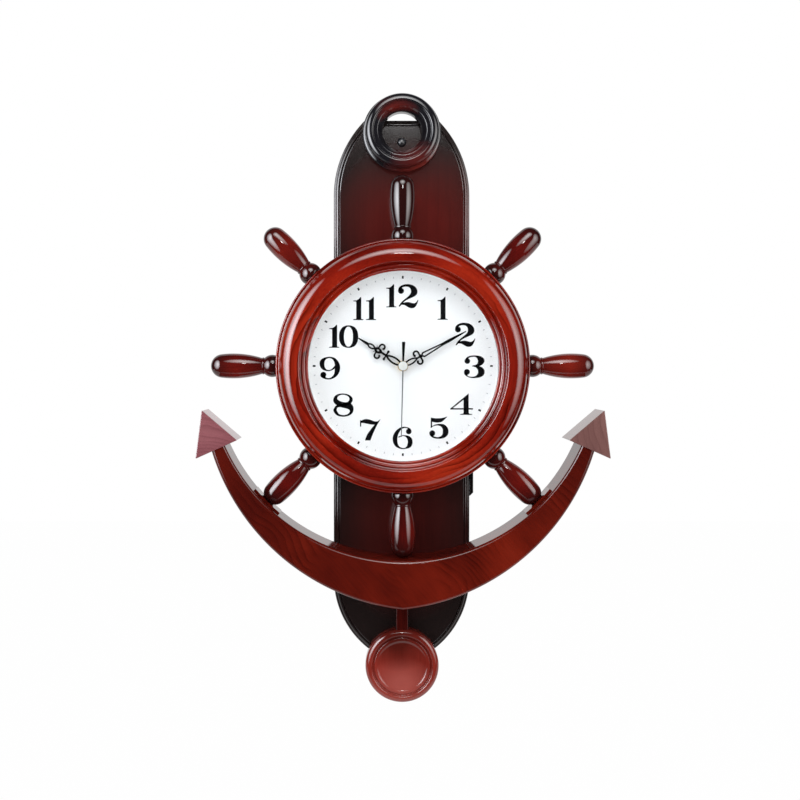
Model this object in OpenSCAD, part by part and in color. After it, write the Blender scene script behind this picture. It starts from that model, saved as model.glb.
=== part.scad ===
// Ship wheel wall clock: a turned wheel with a dial, set in an anchor on a long back board.
// The wall is the plane y = 0 and the clock faces -Y. A depth is a distance in front of the wall.
// The origin is the centre of the hanger's round hole. The wheel's axis lies straight below it.
// The sizes run outwards from the dial opening: bezel, drum, handles, anchor, and then the board.

/* [Dial and glass] */
// Radius of the opening over the dial
opening_r = 95.2; // [86:0.1:104]
// Overlap of the glass behind the bezel's lip
glass_lap = 5.3; // [4.5:0.1:6]
// Thickness of the glass
glass_t = 2; // [1.5:0.1:3]
// Height of the spacer ring between the dial and the glass
spacer_h = 12; // [11:0.5:13.5]
// Thickness of the dial plate
dial_t = 1.5; // [1:0.1:2]

/* [Wheel] */
// Width of the bezel, from the opening to its outer edge
bezel_w = 33.8; // [31:0.1:38]
// Height of the bezel's crown in front of its back face
bezel_h = 28; // [25:0.5:32]
// How far the bezel stands out over the drum
bezel_over = 7.5; // [5:0.1:9]
// Wall of the case drum
drum_wall = 12; // [10.8:0.1:13.5]
// Depth of the case drum, from back to front
drum_h = 36; // [33:0.5:40]
// Thickness of the drum's inner front flange
flange_t = 5; // [4:0.5:6]
// Thickness of the case's back panel
back_panel_t = 3; // [2:0.5:4]
// Length of a handle, from the drum to its tip
handle_l = 74.5; // [66:0.5:82]
// Largest radius of a handle's grip
grip_r = 12.8; // [11:0.1:13.8]
// Distance of the grip's thickest place from the ball
belly_up = 40; // [36:0.5:44]
// Radius of a handle's neck
neck_r = 8; // [6.8:0.1:8.4]
// Distance of the neck from the ball
neck_up = 9.8; // [8.8:0.1:10.8]
// Radius of a handle's ball
ball_r = 11.5; // [10:0.1:12]
// Radius of a handle's tenon
tenon_r = 5; // [4:0.1:6]

/* [Anchor] */
// Thickness of the crescent, from front to back
anchor_t = 48; // [43:0.5:53]
// Width of the crescent on the middle line
crescent_w = 49.2; // [43:0.1:54]
// Distance of each outer arc's centre across the middle line
crescent_shift = 25; // [22:0.1:28]
// Depth of the outer arcs' centres below the wheel's axis
crescent_drop = 19.2; // [17:0.1:21.5]
// Radius of the rounding along the front edges of the crescent
edge_round = 2; // [1:0.1:3]
// Angle below the horizontal at which the flukes stand on the crescent
fluke_angle = 24.1; // [21:0.1:27]
// Width of a fluke's base
fluke_w = 45.8; // [41:0.1:50]
// Height of a fluke over its base
fluke_h = 42.2; // [38:0.1:46]
// How far a fluke's tip leans towards the wheel
fluke_lean = 2.8; // [0:0.1:5]
// How far the flukes stand out in front of the crescent
fluke_proud = 1.5; // [0.5:0.1:3]
// Thickness of the seat plates on the crescent
seat_t = 2; // [1.5:0.1:3]
// Length of a seat plate along the crescent
seat_l = 35; // [30:1:40]
// Width of a seat plate, from front to back
seat_w = 25; // [20:1:28]
// Radius of the socket in a seat plate
seat_socket_r = 7.2; // [6:0.1:8]

/* [Anchor ring, bar and knob] */
// Radius of the ring's base flange
ring_flange_r = 40.7; // [36:0.1:44]
// How far the base flange stands out from the ring's body
ring_flange_w = 2.6; // [2.2:0.1:3]
// Radius of the ring's eye
ring_eye_r = 20.4; // [18:0.1:22]
// Thickness of the ring
ring_t = 24; // [21:0.5:27]
// Gap between the ring's flange and the tip of the top handle
ring_gap = 5.7; // [3:0.1:8]
// Width of the bar under the crescent
bar_w = 12.4; // [10:0.1:14]
// Thickness of the bar
bar_t = 14; // [12:0.5:16]
// Length of the bar between the crescent and the knob
bar_l = 26.1; // [20:0.1:32]
// Radius of the knob
knob_r = 37.9; // [34:0.1:41]
// Thickness of the knob
knob_t = 17; // [15:0.5:19]
// Width of the knob's rim round the dished disc
knob_rim_w = 8.9; // [8:0.1:10]

/* [Back board] */
// Width of the board
board_w = 142; // [128:1:154]
// Thickness of the board
board_t = 18; // [17:0.5:20]
// Height of the board's flat top above the ring's centre
board_over_ring = 14.5; // [10:0.5:18]
// Height of the two upper shoulders
shoulder_h = 79; // [71:1:87]
// Radius of the two upper shoulders
shoulder_r = 113; // [103:1:124]
// Depth of the knob's centre below the board's foot
knob_hang = 13.5; // [10:0.5:15]
// Height of the two lower curves
foot_h = 74; // [67:1:81]
// Radius of the two lower curves
foot_r = 94; // [88:1:103]
// Width of the plain edge outside the moulding
edge_w = 2.1; // [1.5:0.1:3]
// Width of the moulding's raised band
band_w = 3.1; // [2:0.1:5]
// Width of the groove inside the band
groove_w = 1.1; // [0.8:0.1:2]
// Height of each step of the moulding
step_h = 2; // [1:0.1:3]
// Side of the square access opening behind the movement
access_w = 84; // [76:1:88]
// Corner radius of the access opening
access_corner = 8; // [5:0.5:15]
// Length of the block on the board's right edge
side_block_l = 76; // [68:1:84]
// Width of the block
side_block_w = 4; // [3:0.5:5]
// Depth of the block's lower end below the wheel's axis
side_block_foot = 136.6; // [123:0.1:150]

/* [Hanger] */
// Distance of the hanger's round hole from the board's top
hanger_drop = 60.9; // [54:0.1:66]
// Radius of the hanger's round hole
keyhole_r = 4.5; // [4:0.1:5]
// Width of the keyhole's slot
keyhole_slot_w = 4.2; // [3.8:0.1:4.7]
// Travel from the round hole to the top of the slot
keyhole_rise = 12; // [10:0.5:14]
// Width of the hanger plate
hanger_w = 24; // [22:0.5:27]
// Thickness of the hanger plate
hanger_t = 1.5; // [1:0.1:2]
// Depth of the pocket behind the hanger plate
hanger_pocket = 9; // [7:0.5:10]

/* [Hands] */
// Length of the hour hand from the axis
hour_hand_l = 53.5; // [48:0.5:60]
// Length of the minute hand from the axis
minute_hand_l = 72.6; // [66:0.1:80]
// Length of the second hand from the axis
second_hand_l = 71.5; // [66:0.5:80]
// Length of the second hand's tail
second_tail_l = 24.4; // [20:0.1:28]
// Thickness of the hands
hand_t = 0.5; // [0.4:0.1:0.6]
// Radius of the cap over the hands
cap_r = 4.7; // [4:0.1:5.4]
// Angle of the hour hand from twelve, clockwise
hour_angle = 302; // [0:1:360]
// Angle of the minute hand from twelve, clockwise
minute_angle = 61.2; // [0:0.1:360]
// Angle of the second hand from twelve, clockwise
second_angle = 181.4; // [0:0.1:360]

/* [Movement] */
// Side of the square movement
movement_w = 56; // [56:0.5:60]
// Thickness of the movement
movement_t = 16; // [16:0.1:17]
// Wall of the movement's case
case_wall = 1.5; // [1.3:0.1:1.7]
// Module of the motion work's first gear pair
motion_module = 0.4; // [0.38:0.01:0.42]
// Module of the going train
train_module = 0.3; // [0.29:0.005:0.31]
// Share of the tooth pitch that a tooth fills
tooth_share = 0.42; // [0.36:0.01:0.44]
// Radius of the arbors
arbor_r = 0.6; // [0.5:0.05:0.65]
// Outer radius of the minute pipe
minute_pipe_r = 1.7; // [1.6:0.05:1.8]
// Outer radius of the hour pipe
hour_pipe_r = 2.55; // [2.5:0.05:2.6]
// Outer radius of the threaded bush
bush_r = 3.5; // [3.4:0.1:3.8]
// Radius of the battery
battery_r = 7; // [6.8:0.05:7.1]
// Length of the battery's can
battery_l = 49; // [48:0.5:49.5]
// Radius of the setting knob
set_knob_r = 6.5; // [5:0.5:8]

/* [Fits] */
// Radial clearance of a running fit
run_fit = 0.05; // [0.03:0.01:0.08]
// Clearance round a piece that is set in wood
wood_fit = 0.1; // [0.05:0.05:0.2]
// Gap between neighbours that move
free_gap = 0.4; // [0.3:0.05:0.5]

/* [Screws] */
// Radius of a frame screw's shank
screw_r = 1.75; // [1.5:0.05:2]
// Radius of a frame screw's head
screw_head_r = 3.6; // [3.2:0.1:4.2]
// Length of a frame screw
screw_l = 28; // [26:0.5:30]

/* [Hidden] */
$fn = 96;

// Wheel: the bezel overlaps the glass, which lies in a rabbet, and covers the drum
glass_r = opening_r + glass_lap;
rabbet_r = glass_r + 0.5;
bezel_r = opening_r + bezel_w;
drum_r = bezel_r - bezel_over;
drum_inner_r = drum_r - drum_wall;
back_rabbet_r = drum_inner_r + 3.5;
flange_inner_r = glass_r - 6;
spacer_inner_r = opening_r + 1.3;
// Depths of the main planes in front of the wall
anchor_front = board_t + anchor_t;
drum_front = board_t + drum_h;
dial_front = drum_front + dial_t;
glass_back = dial_front + spacer_h;
glass_front = glass_back + glass_t;
// Handles: the ball touches the drum and stays behind the bezel, and the tip all but touches the crescent
handle_count = 8;
ball_gap = 0.9;
tip_gap = 0.3;
handle_depth = drum_front - ball_r - ball_gap;
ball_at = drum_r + ball_r + wood_fit;
tip_at = drum_r + handle_l;
belly_at = ball_at + belly_up;
neck_at = ball_at + neck_up;
belly_r = (pow(belly_at - neck_at, 2) + pow(grip_r - neck_r, 2)) / (2 * (grip_r - neck_r));
end_reach = tip_at - belly_at;
end_r = (pow(belly_r, 2) - pow(belly_r - grip_r, 2) - pow(end_reach, 2)) / (2 * (belly_r - end_reach));
// Crescent: its inner edge runs round the wheel, and two arcs that cross on the middle line bound it outside
crescent_inner_r = tip_at + tip_gap;
crescent_point = crescent_inner_r + crescent_w;
crescent_outer_r = norm([crescent_shift, crescent_point - crescent_drop]);
// Where the outer arc crosses the radius on which a fluke stands
fluke_slip = crescent_shift * cos(fluke_angle) - crescent_drop * sin(fluke_angle);
arc_offset = norm([crescent_shift, crescent_drop]);
crescent_end_r = sqrt(pow(fluke_slip, 2) + pow(crescent_outer_r, 2) - pow(arc_offset, 2)) - fluke_slip;
fluke_at = (crescent_inner_r + crescent_end_r) / 2 + 1.9;
// Ring, knob and board
ring_r = ring_flange_r - ring_flange_w;
ring_height = tip_at + ring_gap + ring_flange_r;
board_top = ring_height + board_over_ring;
shoulder_start = board_top - shoulder_h;
knob_drop = crescent_point + bar_l + knob_r;
board_foot = knob_drop - knob_hang;
foot_start = board_foot - foot_h;
hanger_height = board_top - hanger_drop;
// Stud on the board, seen through the ring's eye
stud_height = ring_height - 9.3;
stud_r = 4.7;
stud_proud = 3;
// Block on the board's right edge, between two depths
side_block_back = 4;
side_block_front = 14;
// Frame screws, as [x, height over the wheel's axis]
drum_screw_ring = (drum_r + back_rabbet_r) / 2;
drum_screw_x = 46;
drum_screw_z = sqrt(pow(drum_screw_ring, 2) - pow(drum_screw_x, 2));
ring_screw_x = (ring_eye_r + ring_r) / 2 + 1;
ring_screw_drop = 4;
crescent_screw_ring = crescent_inner_r + 0.4 * crescent_w;
crescent_screw_x = 40;
crescent_screw_z = sqrt(pow(crescent_screw_ring, 2) - pow(crescent_screw_x, 2));
knob_screw_x = 12;
knob_screw_z = (knob_drop - knob_r + board_foot) / 2;
FRAME_SCREWS = [
    for (s = [-1, 1], t = [-1, 1]) [s * drum_screw_x, t * drum_screw_z],
    for (s = [-1, 1]) [s * ring_screw_x, ring_height - ring_screw_drop],
    for (s = [-1, 1]) [s * crescent_screw_x, -crescent_screw_z],
    for (s = [-1, 1]) [s * knob_screw_x, -knob_screw_z],
];
screw_sink = 0.4;
screw_cone = screw_head_r - screw_r;
slot_w = 0.7;
// Bezel screws, between the glass rabbet and the drum's wall
bezel_screw_ring = (rabbet_r + drum_inner_r) / 2;
bezel_screw_r = 1.3;
bezel_screw_head_r = 2.4;
bezel_screw_head_h = 1.4;
bezel_screw_l = 12;
// Hanger plate: its two screws stand under and over the keyhole
hanger_screw_low = -(keyhole_r + 9);
hanger_screw_high = keyhole_rise + 11;
hanger_screw_r = 1.5;
hanger_screw_l = 11;
hanger_end = 6;
pocket_margin = 3;
// Movement: its front lies on a rubber washer, and a nut on the bush holds it to the dial
washer_t = 0.8;
washer_r = 9;
metal_washer_t = 0.8;
nut_t = 1.8;
nut_r = 5.3;
movement_front = drum_front - washer_t;
// Teeth of the wheels and pinions
minute_teeth = 12;
motion_teeth = 36;
motion_pinion_teeth = 10;
hour_teeth = 40;
set_teeth = 14;
train_pinion_teeth = 8;
third_teeth = 60;
centre_teeth = 64;
second_teeth = 48;
intermediate_teeth = 40;
addendum = 0.85;
dedendum = 1.2;
// Axes of the movement's wheels, from the centre axis
set_bearing = 40;
rotor_bearing = 45;
motion_at = polar(motion_module * (minute_teeth + motion_teeth) / 2, 0);
set_at = motion_at + polar(motion_module * (motion_teeth + set_teeth) / 2, set_bearing);
third_at = polar(train_module * (train_pinion_teeth + third_teeth) / 2, 180);
intermediate_at = polar(train_module * (train_pinion_teeth + second_teeth) / 2, 90);
rotor_at = intermediate_at + polar(train_module * (train_pinion_teeth + intermediate_teeth) / 2, rotor_bearing);
hour_module = 2 * norm(motion_at) / (motion_pinion_teeth + hour_teeth);
centre_module = 2 * norm(third_at) / (train_pinion_teeth + centre_teeth);
// Layers of the movement, as distances behind its front face
hour_layer = case_wall + 0.6;
minute_layer = hour_layer + 1.7;
motion_layer = minute_layer + 0.3;
centre_layer = minute_layer + 2.6;
plate_layer = centre_layer + 1.3;
plate_t = 0.5;
third_layer = plate_layer + plate_t + 0.4;
second_layer = third_layer + 2.2;
intermediate_layer = second_layer + 1.8;
cover_layer = movement_t - case_wall;
stator_layer = third_layer + 1.1;
stator_t = 0.7;
wheel_t = 0.8;
pinion_t = 1.2;
// Bosses that carry the arbors, and the arbors' reach into them
boss_r = 1.5;
boss_reach = 0.7;
pivot_in = 0.3;
pivot_depth = 0.6;
post_r = 2.2;
post_in = 0.6;
// Battery tray at the foot of the movement
inside_half = movement_w / 2 - case_wall;
tray_half = battery_r + free_gap;
tray_at = tray_half - inside_half;
tray_top = tray_at + tray_half;
tray_sink = 0.5;
cell_layer = case_wall + battery_r;
contact_t = 0.4;
train_floor = tray_top + case_wall;
post_x = inside_half - post_r - post_in;
post_low = train_floor + post_r + post_in;
POSTS = [for (s = [-1, 1], z = [post_low, post_x]) [s * post_x, z]];
REAR_PIVOTS = [[0, 0], third_at, intermediate_at, rotor_at];
set_arbor_r = 1;
// The motion wheel's teeth pass the line to the setting pinion with this lead, in degrees
set_lead = (180 / motion_teeth - set_bearing) % (360 / motion_teeth);
// Front ends of the bush, the pipes and the second arbor, in front of the movement
bush_reach = washer_t + dial_t + metal_washer_t + nut_t + 0.2;
hour_hand_reach = bush_reach + free_gap;
minute_hand_reach = hour_hand_reach + hand_t + 1.3;
second_hand_reach = minute_hand_reach + hand_t + 1.3;
pipe_over = 0.3;
grip_gap = 0.01;
cap_h = 1.6;

function polar(d, a) = [d * cos(a), d * sin(a)];

// Moves a piece from the wheel's axis to its place under the hanger
module at_wheel() translate([0, 0, -hanger_height]) children();

// Gives an outline in (x, height) its thickness, between two depths in front of the wall
module slab(from, to) translate([0, -from, 0]) rotate([90, 0, 0]) linear_extrude(to - from) children();

// Turns a profile in (radius, depth) about the wheel's axis
module turned(sweep = 360) rotate([90, 0, 0]) rotate_extrude(angle = sweep) children();

module at(p) translate([p[0], 0, p[1]]) children();

// Gives an outline its thickness between two distances behind the movement's front face
module layer(from, to) slab(movement_front - to, movement_front - from) children();

module ring_2d(outer, inner) difference() {
    circle(outer);
    circle(inner);
}

module box_2d(x0, x1, z0, z1) translate([x0, z0]) square([x1 - x0, z1 - z0]);

module rounded_2d(w, h, r) {
    square([w - 2 * r, h], center = true);
    square([w, h - 2 * r], center = true);
    for (s = [-1, 1], t = [-1, 1]) translate([s * (w / 2 - r), t * (h / 2 - r)]) circle(r);
}

// Pointed oval of half width w between two heights, as the overlap of two circles
module lens_2d(z0, z1, w) {
    half = (z1 - z0) / 2;
    r = (half * half + w * w) / (2 * w);
    intersection() {
        translate([r - w, z0 + half]) circle(r);
        translate([w - r, z0 + half]) circle(r);
    }
}

module lens_hole_2d(z0, z1, w, wall) lens_2d(z0 + 2.2 * wall, z1 - 2.2 * wall, w - wall);

// Outline of the board, drawn in by a margin all round
module board_2d(margin = 0) {
    half = board_w / 2 - margin;
    upper = shoulder_r - margin;
    lower = foot_r - margin;
    intersection() {
        box_2d(-half, half, margin - board_foot, board_top - margin);
        union() {
            box_2d(-half, half, -foot_start, shoulder_start);
            intersection() {
                box_2d(-half, half, shoulder_start, board_top);
                translate([board_w / 2 - shoulder_r, shoulder_start]) circle(upper);
                translate([shoulder_r - board_w / 2, shoulder_start]) circle(upper);
            }
            intersection() {
                box_2d(-half, half, -board_foot, -foot_start);
                translate([board_w / 2 - foot_r, -foot_start]) circle(lower);
                translate([foot_r - board_w / 2, -foot_start]) circle(lower);
            }
        }
    }
}

module keyhole_2d() {
    circle(keyhole_r);
    box_2d(-keyhole_slot_w / 2, keyhole_slot_w / 2, 0, keyhole_rise);
    translate([0, keyhole_rise]) circle(keyhole_slot_w / 2);
}

// Routed pocket that clears the screw's head over the whole travel
module pocket_2d() {
    r = keyhole_r + pocket_margin;
    box_2d(-r, r, 0, keyhole_rise);
    for (z = [0, keyhole_rise]) translate([0, z]) circle(r);
}

module hanger_2d(grow = 0) translate([0, (hanger_screw_low + hanger_screw_high) / 2])
    rounded_2d(hanger_w + 2 * grow, hanger_screw_high - hanger_screw_low + 2 * (hanger_end + grow), 4);

module access_2d() rounded_2d(access_w, access_w, access_corner);

// One frame screw, or the hole for it, along the depth from the wall
module frame_screw(grow = 0) {
    slab(screw_sink, screw_sink + screw_l + grow) circle(screw_r + grow);
    translate([0, -screw_sink + grow, 0]) rotate([90, 0, 0])
        cylinder(h = screw_cone + grow, r1 = screw_head_r + 2 * grow, r2 = screw_r + grow);
}

module frame_screw_holes() for (p = FRAME_SCREWS) at(p) {
    frame_screw(wood_fit);
    slab(-1, screw_sink) circle(screw_head_r + 2 * wood_fit);
}

module back_board() color("#3a1512") {
    difference() {
        at_wheel() {
            slab(0, board_t - 2 * step_h) board_2d();
            slab(board_t - 2 * step_h, board_t - step_h) difference() {
                board_2d(edge_w);
                difference() {
                    board_2d(edge_w + band_w);
                    board_2d(edge_w + band_w + groove_w);
                }
            }
            slab(board_t - step_h, board_t) board_2d(edge_w + band_w + groove_w);
        }
        at_wheel() {
            slab(-1, board_t + 1) access_2d();
            frame_screw_holes();
            at([0, stud_height]) slab(board_t / 2 - 1, board_t + 1) circle(screw_r + wood_fit);
        }
        slab(-1, hanger_t) hanger_2d(wood_fit);
        slab(0, hanger_t + hanger_pocket) pocket_2d();
        for (z = [hanger_screw_low, hanger_screw_high])
            at([0, z]) slab(0, hanger_screw_l + 1) circle(hanger_screw_r + wood_fit);
    }
}

module side_block() color("#26221f") at_wheel() slab(side_block_back, side_block_front)
    polygon([
        [board_w / 2, -side_block_foot],
        [board_w / 2 + side_block_w, side_block_w - side_block_foot],
        [board_w / 2 + side_block_w, side_block_l - side_block_foot],
        [board_w / 2, side_block_l - side_block_foot]
    ]);

// Countersunk screw of the hanger plate, or the hole for it
module hanger_screw(grow = 0) {
    slab(0, hanger_screw_l) circle(hanger_screw_r + grow);
    rotate([90, 0, 0]) cylinder(h = hanger_t, r1 = 2 * hanger_screw_r + grow, r2 = hanger_screw_r + grow);
}

module hanger_plate() color("#b8bcc0") difference() {
    slab(0, hanger_t) difference() {
        hanger_2d();
        keyhole_2d();
    }
    for (z = [hanger_screw_low, hanger_screw_high]) at([0, z]) hanger_screw(wood_fit);
}

module hanger_screws() color("#8f9499") for (z = [hanger_screw_low, hanger_screw_high]) at([0, z]) difference() {
    hanger_screw();
    slab(-1, slot_w) square([3 * hanger_screw_r, slot_w], center = true);
}

module board_stud() color("#3b3f42") at_wheel() at([0, stud_height]) {
    dome_r = 1.2 * stud_r;
    slab(board_t / 2, board_t) circle(screw_r);
    turned() intersection() {
        translate([0, board_t + stud_proud - dome_r]) circle(dome_r);
        box_2d(0, stud_r, board_t, board_t + stud_proud);
    }
}

module frame_screws() color("#8f9499") at_wheel() for (p = FRAME_SCREWS) at(p) difference() {
    frame_screw();
    for (a = [0, 90]) rotate([0, a, 0]) slab(screw_sink - 1, screw_sink + 1)
        square([1.1 * screw_head_r, slot_w], center = true);
}

// Turned ring with a base flange, a rounded body, an inner step and a flared eye
module anchor_ring() color("#2a1413") at_wheel() {
    front = board_t + ring_t;
    flange_h = 5;
    flange_round = 2;
    body_round = 4.5;
    step_r = 0.79 * ring_r;
    step_d = 2.5;
    mouth_r = ring_eye_r + 3.5;
    difference() {
        at([0, ring_height]) turned() difference() {
            union() {
                box_2d(ring_eye_r, ring_flange_r - flange_round, board_t, board_t + flange_h + flange_round);
                box_2d(ring_eye_r, ring_flange_r, board_t, board_t + flange_h);
                translate([ring_flange_r - flange_round, board_t + flange_h]) circle(flange_round);
                box_2d(ring_eye_r, ring_r, board_t, front - body_round);
                box_2d(ring_eye_r, ring_r - body_round, board_t, front);
                translate([ring_r - body_round, front - body_round]) circle(body_round);
            }
            box_2d(0, step_r, front - step_d, front + 1);
            polygon([
                [0, front], [mouth_r + 3, front], [mouth_r, front - 4],
                [ring_eye_r, front - 10], [0, front - 10]
            ]);
        }
        frame_screw_holes();
    }
}

// Crescent in outline: the overlap of two discs, less the disc round the wheel, up to the flukes
module crescent_2d() difference() {
    intersection() {
        translate([-crescent_shift, -crescent_drop]) circle(crescent_outer_r);
        translate([crescent_shift, -crescent_drop]) circle(crescent_outer_r);
    }
    circle(crescent_inner_r);
    above_flukes_2d();
}

// Everything over the two radii on which the flukes stand
module above_flukes_2d() {
    far = 2 * crescent_point;
    foot = polar(far, -fluke_angle);
    polygon([[0, 0], foot, [far, far], [-far, far], [-foot[0], foot[1]]]);
}

// Ring of waste that rounds a curved front edge. The wood lies inside it for side 1 and outside it for -1.
module edge_waste(r, side) {
    inset = 0.9 * edge_round;
    turned() difference() {
        box_2d(r - (side > 0 ? inset : 1), r + (side > 0 ? 1 : inset), anchor_front - inset, anchor_front + 1);
        translate([r - side * inset, anchor_front - inset]) circle(edge_round);
    }
}

module crescent() color("#6e1712") at_wheel() difference() {
    slab(board_t, anchor_front) crescent_2d();
    edge_waste(crescent_inner_r, -1);
    for (s = [-1, 1]) at([s * crescent_shift, -crescent_drop]) edge_waste(crescent_outer_r, 1);
    frame_screw_holes();
}

// Triangle that stands on the crescent's end, with its tip leaning towards the wheel
module fluke_2d() rotate(-fluke_angle) polygon([
    [fluke_at - fluke_w / 2, 0], [fluke_at + fluke_w / 2, 0], [fluke_at - fluke_lean, fluke_h]
]);

module fluke(side) color("#8d4a50") at_wheel() slab(board_t, anchor_front + fluke_proud)
    mirror([side < 0 ? 1 : 0, 0]) fluke_2d();

// Square bar, hollowed at both ends to the crescent's point and to the knob
module lower_bar() color("#7b2a22") at_wheel() slab(board_t, board_t + bar_t) difference() {
    box_2d(-bar_w / 2, bar_w / 2, -knob_drop, bar_w / 4 - crescent_point);
    crescent_2d();
    translate([0, -knob_drop]) circle(knob_r);
}

// Turned disc with a rounded rim, a groove and a shallow dish
module bottom_knob() color("#8c3231") at_wheel() difference() {
    front = board_t + knob_t;
    lip = 5;
    groove_out = knob_r - 0.77 * knob_rim_w;
    groove_in = knob_r - knob_rim_w;
    sunk = 2;
    groove_d = 3.2;
    dish_d = 3.5;
    dish_sphere_r = 160;
    at([0, -knob_drop]) turned() difference() {
        union() {
            box_2d(0, knob_r, board_t, front - lip);
            box_2d(0, knob_r - lip, board_t, front);
            translate([knob_r - lip, front - lip]) circle(lip);
        }
        box_2d(0, groove_out, front - sunk, front + 1);
        box_2d(groove_in, groove_out, front - groove_d, front + 1);
        intersection() {
            translate([0, front - dish_d + dish_sphere_r]) circle(dish_sphere_r);
            box_2d(0, groove_in - 1, front - 2 * dish_d, front + 1);
        }
    }
    frame_screw_holes();
}

// Curved plates on the crescent's inner wall, each with a round seat for a handle's tip
module seat_plates() color("#4a1612") at_wheel() for (a = [135, 225]) {
    sweep = seat_l / crescent_inner_r * 180 / PI;
    difference() {
        rotate([0, a - 90 - sweep / 2, 0]) mirror([0, 0, 1]) turned(sweep) translate([0, handle_depth])
            box_2d(crescent_inner_r - seat_t, crescent_inner_r, -seat_w / 2, seat_w / 2);
        translate([0, -handle_depth, 0]) rotate([0, a, 0]) translate([0, 0, belly_at])
            cylinder(h = handle_l, r = seat_socket_r);
    }
}

module case_drum() color("#431311") at_wheel() difference() {
    turned() difference() {
        box_2d(flange_inner_r, drum_r, board_t, drum_front);
        box_2d(0, drum_inner_r, board_t - 1, drum_front - flange_t);
        box_2d(0, back_rabbet_r, board_t - 1, board_t + back_panel_t);
    }
    for (i = [1:handle_count]) translate([0, -handle_depth, 0]) rotate([0, i * 360 / handle_count, 0])
        cylinder(h = drum_r + 1, r = tenon_r + run_fit);
    for (a = [45:90:315]) at(polar(bezel_screw_ring, a))
        slab(board_t, drum_front + 1) circle(bezel_screw_r + wood_fit);
    frame_screw_holes();
}

module case_back() color("#a98a63") at_wheel() slab(board_t, board_t + back_panel_t) difference() {
    circle(back_rabbet_r - wood_fit);
    access_2d();
}

// Turned bezel: outer lip, bead, tall rounded crown, inner bead and the lip over the glass
module bezel_2d() {
    crown_in = opening_r + 8.4;
    crown_mid = opening_r + 14.8;
    crown_out = bezel_r - 6.4;
    crown_low = 6;
    half = crown_out - crown_mid;
    crown_r = (half * half + pow(bezel_h - crown_low, 2)) / (2 * (bezel_h - crown_low));
    lip_r = 1.5;
    bead_r = 1.4;
    lip_top = glass_front - drum_front + 2 * lip_r + 0.6;
    difference() {
        union() {
            box_2d(opening_r, bezel_r - 1, 0, 3.4);
            box_2d(opening_r, bezel_r, 0, 2.4);
            translate([bezel_r - bead_r, 2.2]) circle(bead_r);
            translate([bezel_r - 4, 4]) circle(lip_r);
            box_2d(opening_r, bezel_r - 4.5, 0, 4.6);
            intersection() {
                translate([crown_mid, bezel_h - crown_r]) circle(crown_r);
                box_2d(crown_in, crown_out, 0, bezel_h);
            }
            box_2d(opening_r, crown_out, 0, crown_low);
            box_2d(crown_in, crown_mid, 0, bezel_h - crown_r);
            box_2d(opening_r + lip_r, crown_in, 0, lip_top - 1.2);
            box_2d(opening_r, opening_r + 2 * lip_r, 0, lip_top - 2);
            translate([opening_r + lip_r, lip_top - lip_r - 0.1]) circle(lip_r);
            translate([opening_r + 5.8, lip_top - 0.4]) circle(bead_r);
        }
        box_2d(0, rabbet_r, -1, glass_front - drum_front + wood_fit);
    }
}

module bezel() color("#8e1d14") at_wheel() difference() {
    turned() translate([0, drum_front]) bezel_2d();
    for (a = [45:90:315]) at(polar(bezel_screw_ring, a))
        slab(drum_front - 1, drum_front - flange_t + bezel_screw_l + 1) circle(bezel_screw_r + wood_fit);
}

module bezel_screws() color("#8f9499") at_wheel() for (a = [45:90:315]) at(polar(bezel_screw_ring, a)) {
    seat = drum_front - flange_t;
    slab(seat, seat + bezel_screw_l) circle(bezel_screw_r);
    slab(seat - bezel_screw_head_h, seat) difference() {
        circle(bezel_screw_head_r);
        square([3 * bezel_screw_head_r, slot_w], center = true);
    }
}

module glass() color("#dfe9ec", 0.35) at_wheel() slab(glass_back, glass_front) circle(glass_r);

module spacer_ring() color("#f2f2ef") at_wheel() slab(dial_front, glass_back) ring_2d(glass_r, spacer_inner_r);

module dial_plate() color("#f7f7f4") at_wheel() slab(drum_front, dial_front) ring_2d(glass_r, bush_r + wood_fit);

// Turned handle, along +Z from the wheel's axis: tenon, ball, collar, grip and rounded end
module handle_2d() {
    end_at = tip_at - end_r;
    join = belly_at + (end_at - belly_at) * belly_r / (belly_r - end_r);
    box_2d(0, tenon_r, drum_inner_r, ball_at);
    intersection() {
        translate([0, ball_at]) circle(ball_r);
        box_2d(0, 2 * ball_r, ball_at - ball_r, ball_at + ball_r);
    }
    intersection() {
        translate([grip_r - belly_r, belly_at]) circle(belly_r);
        box_2d(0, grip_r, neck_at, join);
    }
    intersection() {
        translate([0, end_at]) circle(end_r);
        box_2d(0, end_r, end_at, tip_at);
    }
    box_2d(0, neck_r + 0.7, neck_at - 1.2, neck_at + 0.2);
}

module handle(angle) color("#5e1512") at_wheel() translate([0, -handle_depth, 0]) rotate([0, angle, 0])
    rotate_extrude() handle_2d();

// Outline of a gear wheel with straight roots and pointed, rounded tips, as clock wheels have
module gear_2d(teeth, m, turn = 0) {
    pitch = m * teeth / 2;
    half = tooth_share * 180 / teeth;
    side = [
        [pitch - dedendum * m, 1],
        [pitch, 1],
        [pitch + 0.55 * addendum * m, 0.72],
        [pitch + addendum * m, 0.35]
    ];
    rotate(turn) polygon([for (i = [0:teeth - 1], s = [-1, 1], k = [0:3])
        let (p = side[s < 0 ? k : 3 - k]) polar(p[0], 360 * i / teeth + s * half * p[1])]);
}

// A wheel and its pinion turn on one arbor
module arbor(p, from, to, r = arbor_r) at(p) layer(from, to) circle(r);

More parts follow.
